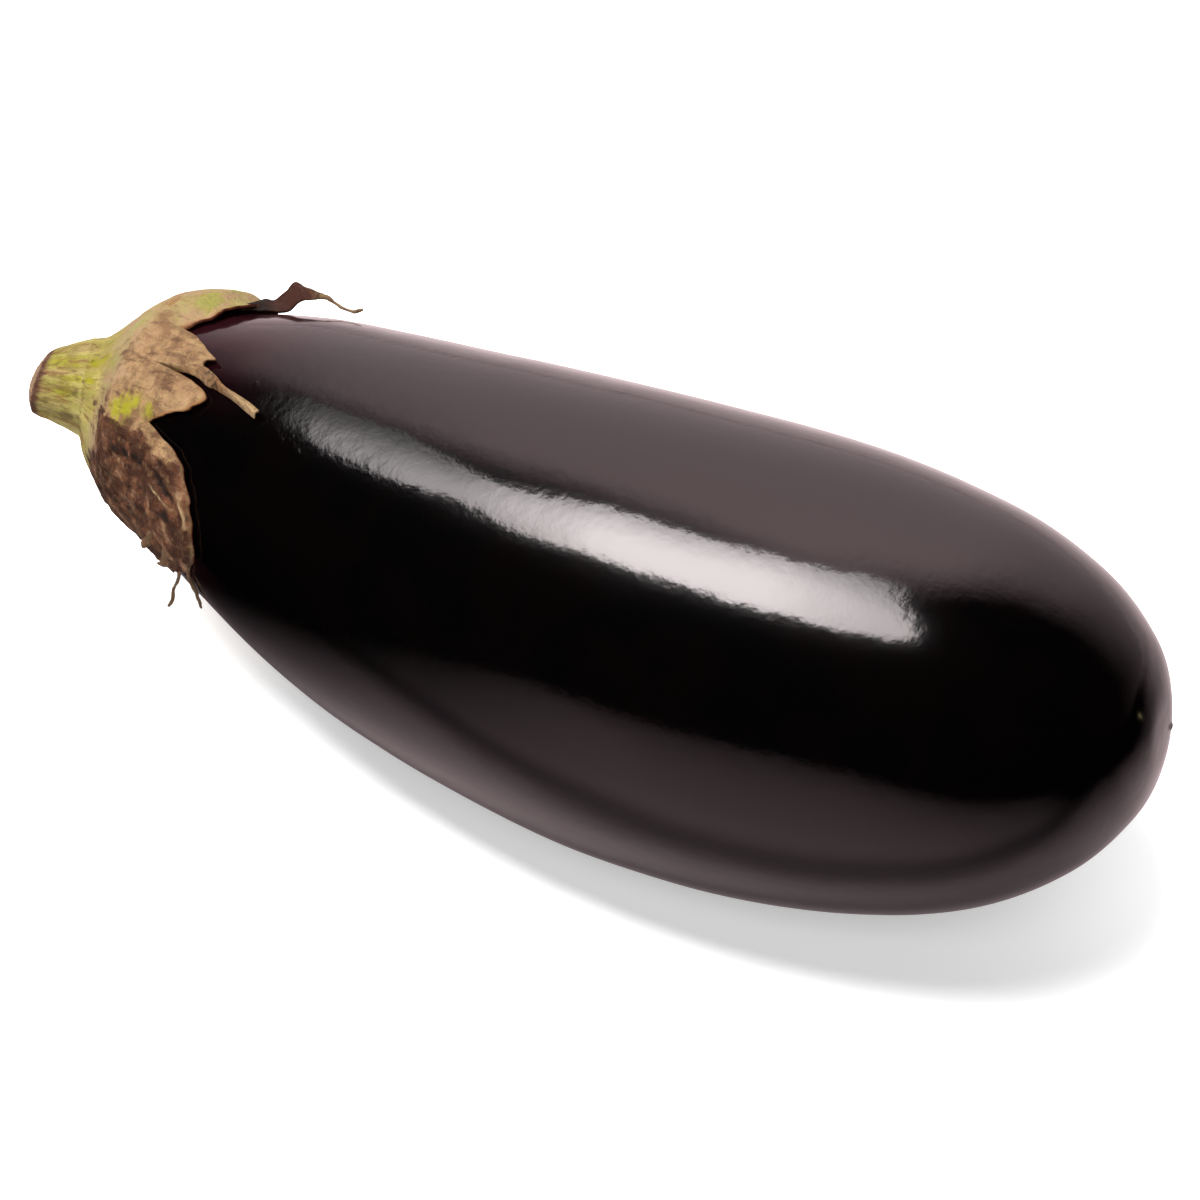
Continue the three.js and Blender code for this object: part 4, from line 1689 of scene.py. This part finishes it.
@dataclass
class Stem:
    """The ribbed stub of the stalk, from its foot on the fruit's seat to the slanted cut."""

    line: CentreLine
    foot: float = -122.2
    collar: float = -130.5
    end: float = -138.6
    girth: tuple[Row, ...] = (
        (-122.2, 9), (-129.6, 9), (-130.3, 9.2), (-130.7, 9.3), (-132.5, 8.6), (-135.5, 7.4),
        (-137.5, 6.7), (-138.6, 6.1),
    )
    tilt: float = 1.6  # how much further than the middle the cut reaches
    tilt_toward: float = -8.0
    bulge: float = 2.0  # how far the dried pith stands out of the cut
    drawn_girth: float = 15.0  # radius at which the surface pattern is drawn
    grain_start: float = -139.9  # so that the pattern runs on into the calyx
    girth_samples: int = 300
    ribs: Ribs = Ribs()
    knots: Lumps = Lumps(2.6, 3, 6.0)
    knot: float = 0.14
    knot_start: Band = (-130.7, -132.5)
    dome_power: float = 2.4
    pits: Lumps = Lumps(1.3, 3, 8.0)
    pit: float = 0.16
    aged: Band = (-130, -134)
    rim: Band = (1.3, 0.2)  # distance of the brown rim from the cut
    rim_strays: Lumps = Lumps(1.5, 2)
    rim_stray: float = 0.5
    cut_rim: Band = (0.86, 0.97)  # part of the way out where the rim begins on the cut
    # Patches of colour, placed by station and angle.
    lime: tuple[Spot, ...] = (
        Spot(-134.5, 27, 2.4, 7), Spot(-133, 46, 3, 5), Spot(-135, 70, 4, 11),
        Spot(-137.3, 90, 2.5, 14, 0.8), Spot(-134, 150, 4, 16, 0.7), Spot(-135, 235, 4, 14, 0.7),
    )
    olive: tuple[Spot, ...] = (
        Spot(-133.4, -7, 1.8, 11), Spot(-132.3, 28, 1.2, 5.5, 0.8), Spot(-138, 8, 1.2, 8, 0.6),
        Spot(-132.4, 46, 1.2, 1.6, 0.8), Spot(-134.5, 195, 2, 10, 0.8),
    )
    rust: tuple[Spot, ...] = (
        Spot(-138, 52, 1.8, 6), Spot(-135.6, 61, 1.5, 4, 0.8), Spot(-138.6, 30, 0.9, 5, 0.6),
        Spot(-136, 120, 2.5, 4, 0.8), Spot(-135, 275, 2, 5, 0.8),
    )
    rows: int = 110
    columns: int = 160
    cut_rings: int = 26
    foot_rings: int = 4

    def build(self) -> bpy.types.Object:
        """Makes the stem's mesh with masks for its ribs, the cut face and its rim.

        Returns:
            The object.
        """
        girth = np.array(sorted(spline(self.girth, self.girth_samples).tolist()))
        side_station = np.linspace(self.foot, self.end, self.rows)
        side_radius = np.interp(side_station, girth[:, 0], girth[:, 1])
        foot_part = np.linspace(0, 1, self.foot_rings + 1)[1:-1]
        cut_part = np.linspace(1, 0, self.cut_rings)[1:-1]
        part = np.concatenate([foot_part, np.ones(self.rows), cut_part])
        at_foot, at_end = np.full(len(foot_part), self.foot), np.full(len(cut_part), self.end)
        station = np.concatenate([at_foot, side_station, at_end])
        radius = np.concatenate([foot_part * side_radius[0], side_radius, cut_part * side_radius[-1]])
        on_cut = np.concatenate([np.zeros(len(foot_part) + self.rows), np.ones(len(cut_part))])
        degrees = np.arange(self.columns)[None, :] * 360 / self.columns
        station, radius, part, on_cut = (v[:, None] + 0 * degrees for v in (station, radius, part, on_cut))
        degrees = degrees + 0 * station
        turn = np.radians(degrees)
        drawn_at = self.drawn_girth * part
        grain = np.stack([drawn_at * np.cos(turn), drawn_at * np.sin(turn), station - self.grain_start], -1)
        hollow = self.ribs.hollow(station, degrees)
        radius = radius - part * hollow
        radius = radius + self.knot * part * self.knots.at(grain) * smooth_step(*self.knot_start, station)
        exposed = np.clip((station - self.collar) / (self.end - self.collar), 0, 1)
        lean = -self.tilt * exposed * part * np.cos(turn - math.radians(self.tilt_toward))
        dome = -self.bulge * (1 - part**self.dome_power) + self.pit * self.pits.at(grain)
        station = station + lean + on_cut * dome
        grid = self.line.section(station, radius, degrees)
        to_cut = station - lean - self.end + self.rim_stray * self.rim_strays.at(grain)
        rim = smooth_step(*self.rim, to_cut) * (1 - on_cut) + on_cut * smooth_step(*self.cut_rim, part)
        masks = {
            "grain": grain,
            "rib": 1 - hollow / self.ribs.depth,
            "cut": on_cut,
            "aged": smooth_step(*self.aged, station) * (1 - on_cut),
            "rim": np.clip(rim, 0, 1),
            "lime": covered(self.lime, station, degrees),
            "olive": covered(self.olive, station, degrees),
            "rust": covered(self.rust, station, degrees),
        }
        return Surface.from_grid(grid, Ends.POLES, masks).to_object("stem_stub")


# ---- Studio ----


@dataclass(frozen=True)
class SoftBox:
    """The overhead lamp: a cloth panel that glows evenly at one end and fades toward the other.

    It is a level outline of [x, y] corners at a height above the floor, and isn't seen itself.
    """

    outline: tuple[Row, ...] = (
        (30, 140), (65, 40), (80, -30), (120, -100), (175, -200), (238, -320), (225, -400), (130, -440),
        (25, -510), (-125, -545), (-300, -575), (-425, -540), (-650, -485), (-875, -515), (-950, -430),
        (-1025, -345), (-1270, -345), (-1450, -230), (-1560, 0), (-1500, 330), (-1200, 330),
        (-1060, 180), (-950, 60), (-875, 0), (-800, -35), (-725, 10), (-650, 35), (-425, 15),
        (-125, 25), (-40, 95),
    )
    height: float = 1200.0
    strength: float = 30.0
    veil: Band = (-1560.0, -1190.0)  # the far part rises to its own dimmer level
    veil_share: float = 0.38
    rise: Band = (-1000.0, -540.0)
    fall: Band = (-250.0, 150.0)
    fallen: float = 0.62
    back: Band = (250.0, -300.0)
    back_share: float = 0.17

    def build(self) -> None:
        """Hangs the lamp in the studio."""
        corners = [(x, y, self.height) for x, y in self.outline]
        hung = linked("softbox", corners, [tuple(range(len(corners)))])
        hung.data.materials.append(self._glow())
        hung.visible_camera = False

    def _glow(self) -> bpy.types.Material:
        """Makes the panel's light, which grows along it and sinks a little at its near end.

        Returns:
            The material.
        """
        s = Shader("softbox_glow")
        place = s.node("ShaderNodeSeparateXYZ", Vector=s.place()).outputs
        along, across = place["X"], place["Y"]

        def ramp(value: Socket, ends: tuple[float, float], low: float, high: float) -> Socket:
            """A soft change of level between two places in millimetres."""
            return s.span(value, Ramp(*(v * MM for v in ends), low, high))

        far = ramp(along, self.veil, 0, self.veil_share * self.strength)
        near = ramp(along, self.rise, 0, (1 - self.veil_share) * self.strength)
        level = s.math("MULTIPLY", s.math("ADD", far, near), ramp(along, self.fall, 1, self.fallen))
        level = s.math("MULTIPLY", level, ramp(across, self.back, self.back_share, 1))
        return s.replaced(s.node("ShaderNodeEmission", Strength=level).outputs[0])


@dataclass(frozen=True)
class FrontFill:
    """A soft lamp in front that opens up the shadows but isn't mirrored in the skin."""

    place: Row = (500, -1300, 1000)
    side: float = 1200.0
    power: float = 20.0

    def build(self) -> None:
        """Hangs the lamp in the studio."""
        lamp = bpy.data.lights.new("front_fill", "AREA")
        lamp.size = self.side * MM
        lamp.energy = self.power
        hung = bpy.data.objects.new("front_fill", lamp)
        hung.location = Vector(self.place) * MM
        hung.rotation_euler = Vector(self.place).to_track_quat("Z", "Y").to_euler()
        hung.visible_camera = hung.visible_glossy = False
        bpy.context.scene.collection.objects.link(hung)


@dataclass(frozen=True)
class MirroredShade:
    """A dark rose sheet over the floor that only the glossy skin shows: painted shade and a painted rose
    tint in the floor that the skin mirrors.

    It dims the floor that is mirrored, and is black but for a lane in front and the floor close by.
    """

    reach: float = 6000.0
    fine: float = 60.0  # within this reach the cells are small
    cells: int = 200
    lift: float = 0.4
    # painted rose tint of the mirrored floor seen through the sheet
    rose: str = "#FFE6E9"
    lane_left: Band = (-93.0, 52.0)
    lane_lean: float = 0.56
    lane_start: float = -76.0
    lane_level: float = 0.43
    lane_tail: float = 0.32  # what is left of the lane's level far away
    lane_full: float = 90.0  # it fades from this far in front
    lane_fade: float = 260.0
    shade_line: tuple[float, float] = (-67.0, 0.23)  # painted dark band of shade between the lane and the strip
    shade_line_lane: Band = (10, -24)
    shade_line_strip: Band = (-9, 20)
    strip_left: Band = (-95, 0)
    strip_level: float = 0.37
    back_level: Band = (0.48, 1.0)
    back_rise: Band = (300, 1500)
    behind: Band = (-20, 45)  # between the floor in front and the floor behind
    ends: tuple[Row, ...] = (  # along y: middle and half width of the fade to the right
        (-80, 175, 110), (-30, 148, 75), (5, 190, 70), (30, 200, 80), (90, 145, 110), (170, 190, 125),
        (230, 250, 110), (500, 415, 240), (6000, 5000, 2900),
    )

    def build(self) -> None:
        """Lays the sheet of painted shade."""
        turn = np.linspace(-1, 1, self.cells) * math.asinh(self.reach / self.fine)
        x, y = np.meshgrid(self.fine * np.sinh(turn), self.fine * np.sinh(turn))
        index = np.arange(self.cells**2).reshape(self.cells, self.cells)
        corners = index[:-1, :-1], index[:-1, 1:], index[1:, 1:], index[1:, :-1]
        faces = np.stack(corners, -1).reshape(-1, 4)
        points = np.stack([x, y, np.full_like(x, self.lift)], -1).reshape(-1, 3)
        laid = linked("mirrored_shade", points, faces.tolist())
        store(laid, "cover", 1 - self._bare(x, y).reshape(-1, 1))
        laid.data.materials.append(self._shade_sheet_material())
        laid.visible_camera = laid.visible_shadow = laid.visible_diffuse = False

    def _bare(self, x: Array, y: Array) -> Array:
        """How much of the floor shows through at each place.

        Args:
            x: distance to the right of each place.
            y: distance toward the back.

        Returns:
            A share from 0 to 1 for each place.
        """
        rows = np.array(self.ends)
        middle, half = (np.interp(y, rows[:, 0], rows[:, k]) for k in (1, 2))
        lit = smooth_step(1, -1, (x - middle) / half)
        shift = self.lane_lean * np.minimum(y - self.lane_start, 0)
        dark, clear = self.lane_left
        fade = np.exp(-np.maximum(-y - self.lane_full, 0) / self.lane_fade)
        lane = self.lane_level * (self.lane_tail + (1 - self.lane_tail) * fade)
        lane = lane * smooth_step(dark, clear, x - shift)
        # Painted shade: a dark band along the shade line between the lane and the strip.
        past = y - self.shade_line[0] - self.shade_line[1] * x
        strip = self.strip_level * smooth_step(*self.strip_left, x)
        front = lane * smooth_step(*self.shade_line_lane, past) + strip * smooth_step(*self.shade_line_strip, past)
        near, far = self.back_level
        back = near + (far - near) * smooth_step(*self.back_rise, y)
        return lit * (front + (back - front) * smooth_step(*self.behind, y))

    def _shade_sheet_material(self) -> bpy.types.Material:
        """Makes the sheet's material, which thins out where the cover ends.

        Returns:
            The material.
        """
        s = Shader("mirrored_shade_sheet")
        mixed = s.node("ShaderNodeMixShader")
        s.feed(mixed, 0, s.mask("cover"))
        clear = s.node("ShaderNodeBsdfTransparent", Color=linear(self.rose))
        black = s.node("ShaderNodeBsdfDiffuse", Color=(0, 0, 0, 1))
        s.feed(mixed, 1, clear.outputs[0])
        s.feed(mixed, 2, black.outputs[0])
        return s.replaced(mixed.outputs[0])


@dataclass(frozen=True)
class RoomGlow:
    """Light of the room: a pale sweep behind and to the left, and darkness in front."""

    tint: str = "#DEDCDC"
    mirrored: str = "#FFE7EB"  # tint of what the glossy skin shows of it
    level: float = 1.25  # brightness of the sweep at the floor
    overhead: float = 2.8  # how much brighter it is straight up
    front: float = 0.004
    seen: float = 1.0
    steepening: float = 4.0  # the edge on the right is sharper high up
    right_edge: tuple[Row, float, float] = ((-0.843, 0.528, -0.099), -0.75, 1.0)
    front_edge: tuple[Row, float, float] = ((0.4, 1.0, -0.05), -0.25, 0.06)
    left_edge: tuple[Row, float, float] = ((1.0, 0.0, 0.0), -0.95, -0.58)

    def build(self) -> None:
        """Makes the world's shader."""
        s = RoomShader("studio_room")
        direction = s.node("ShaderNodeTexCoord").outputs["Generated"]
        up = s.math("MAXIMUM", s.node("ShaderNodeSeparateXYZ", Vector=direction).outputs["Z"], 0.0)
        height = s.math("MULTIPLY", up, up)
        sharper = s.math("ADD", s.math("MULTIPLY", height, self.steepening), 1.0)
        right = self._share(s, direction, self.right_edge, sharper)
        front = self._share(s, direction, self.front_edge, 1.0)
        left = self._share(s, direction, self.left_edge, 1.0)
        level = s.math("ADD", s.math("MULTIPLY", height, self.overhead), self.level)
        sweep = s.math("MULTIPLY", level, s.math("MULTIPLY", right, front))
        glow = s.math("ADD", s.math("MULTIPLY", sweep, left), self.front)
        ray = s.node("ShaderNodeLightPath").outputs
        pick = s.node("ShaderNodeMix")
        for key, value in ((0, ray["Is Camera Ray"]), (2, glow), (3, self.seen)):
            s.feed(pick, key, value)
        s.feed(s.surface, "Strength", pick.outputs[0])
        s.feed(s.surface, "Color", s.mix(ray["Is Glossy Ray"], self.tint, self.mirrored))

    def _share(self, s: Shader, direction: Socket, edge: tuple[Row, float, float], scale: object) -> Socket:
        """How far a direction lies on the bright side of an edge.

        Args:
            s: the shader under construction.
            direction: the direction looked in.
            edge: what the bright side faces, and where the light starts and is full.
            scale: how much steeper the edge is.

        Returns:
            A share from 0 to 1.
        """
        toward, low, high = edge
        facing = s.node("ShaderNodeVectorMath")
        facing.operation = "DOT_PRODUCT"
        s.feed(facing, 0, direction)
        s.feed(facing, 1, toward)
        return s.span(s.math("MULTIPLY", facing.outputs["Value"], scale), Ramp(low, high))


@dataclass(frozen=True)
class Viewpoint:
    """The camera: a long lens from above the near side."""

    aim: Row = (12.45, -3.69, 45.49)
    azimuth: float = 30.0
    elevation: float = 40.0
    distance: float = 789.2
    lens: float = 135.0
    sensor: float = 36.0
    clip: Band = (0.01, 100.0)  # in metres

    def build(self) -> None:
        """Places the camera and makes it the scene's own."""
        camera = bpy.data.cameras.new("camera")
        camera.lens = self.lens
        camera.sensor_width = self.sensor
        camera.clip_start, camera.clip_end = self.clip
        holder = bpy.data.objects.new("camera", camera)
        azimuth, elevation = math.radians(self.azimuth), math.radians(self.elevation)
        level = math.cos(elevation)
        back = Vector((math.sin(azimuth) * level, -math.cos(azimuth) * level, math.sin(elevation)))
        holder.location = (Vector(self.aim) + back * self.distance) * MM
        holder.rotation_euler = back.to_track_quat("Z", "Y").to_euler()
        bpy.context.scene.collection.objects.link(holder)
        bpy.context.scene.camera = holder


@dataclass
class Studio:
    """Floor, lamps, room and camera."""

    floor_reach: float = 6000.0
    floor_gap: float = 0.05

    def build(self) -> None:
        """Sets up the studio."""
        Viewpoint().build()
        RoomGlow().build()
        SoftBox().build()
        FrontFill().build()
        MirroredShade().build()
        reach, level = self.floor_reach, -self.floor_gap
        corners = [(x * reach, y * reach, level) for x, y in ((-1, -1), (1, -1), (1, 1), (-1, 1))]
        floor = linked("floor", corners, [(0, 1, 2, 3)])
        floor.data.materials.append(FloorFinish().build())
        bpy.context.scene.view_settings.view_transform = "Standard"
        log.info("studio: floor, softbox, room and camera")


def main() -> None:
    """Builds the studio and then the eggplant, piece by piece."""
    logging.basicConfig(level=logging.INFO, format="%(name)s: %(message)s")
    Studio().build()
    skin = Skin()
    dress(Fruit(skin).build(), SkinFinish().build(), "fruit")
    dress(Calyx(skin).build(), CalyxFinish().build(), "calyx")
    dress(Stem(skin.line).build(), StemFinish().build(), "stem")


if __name__ == "__main__":
    main()
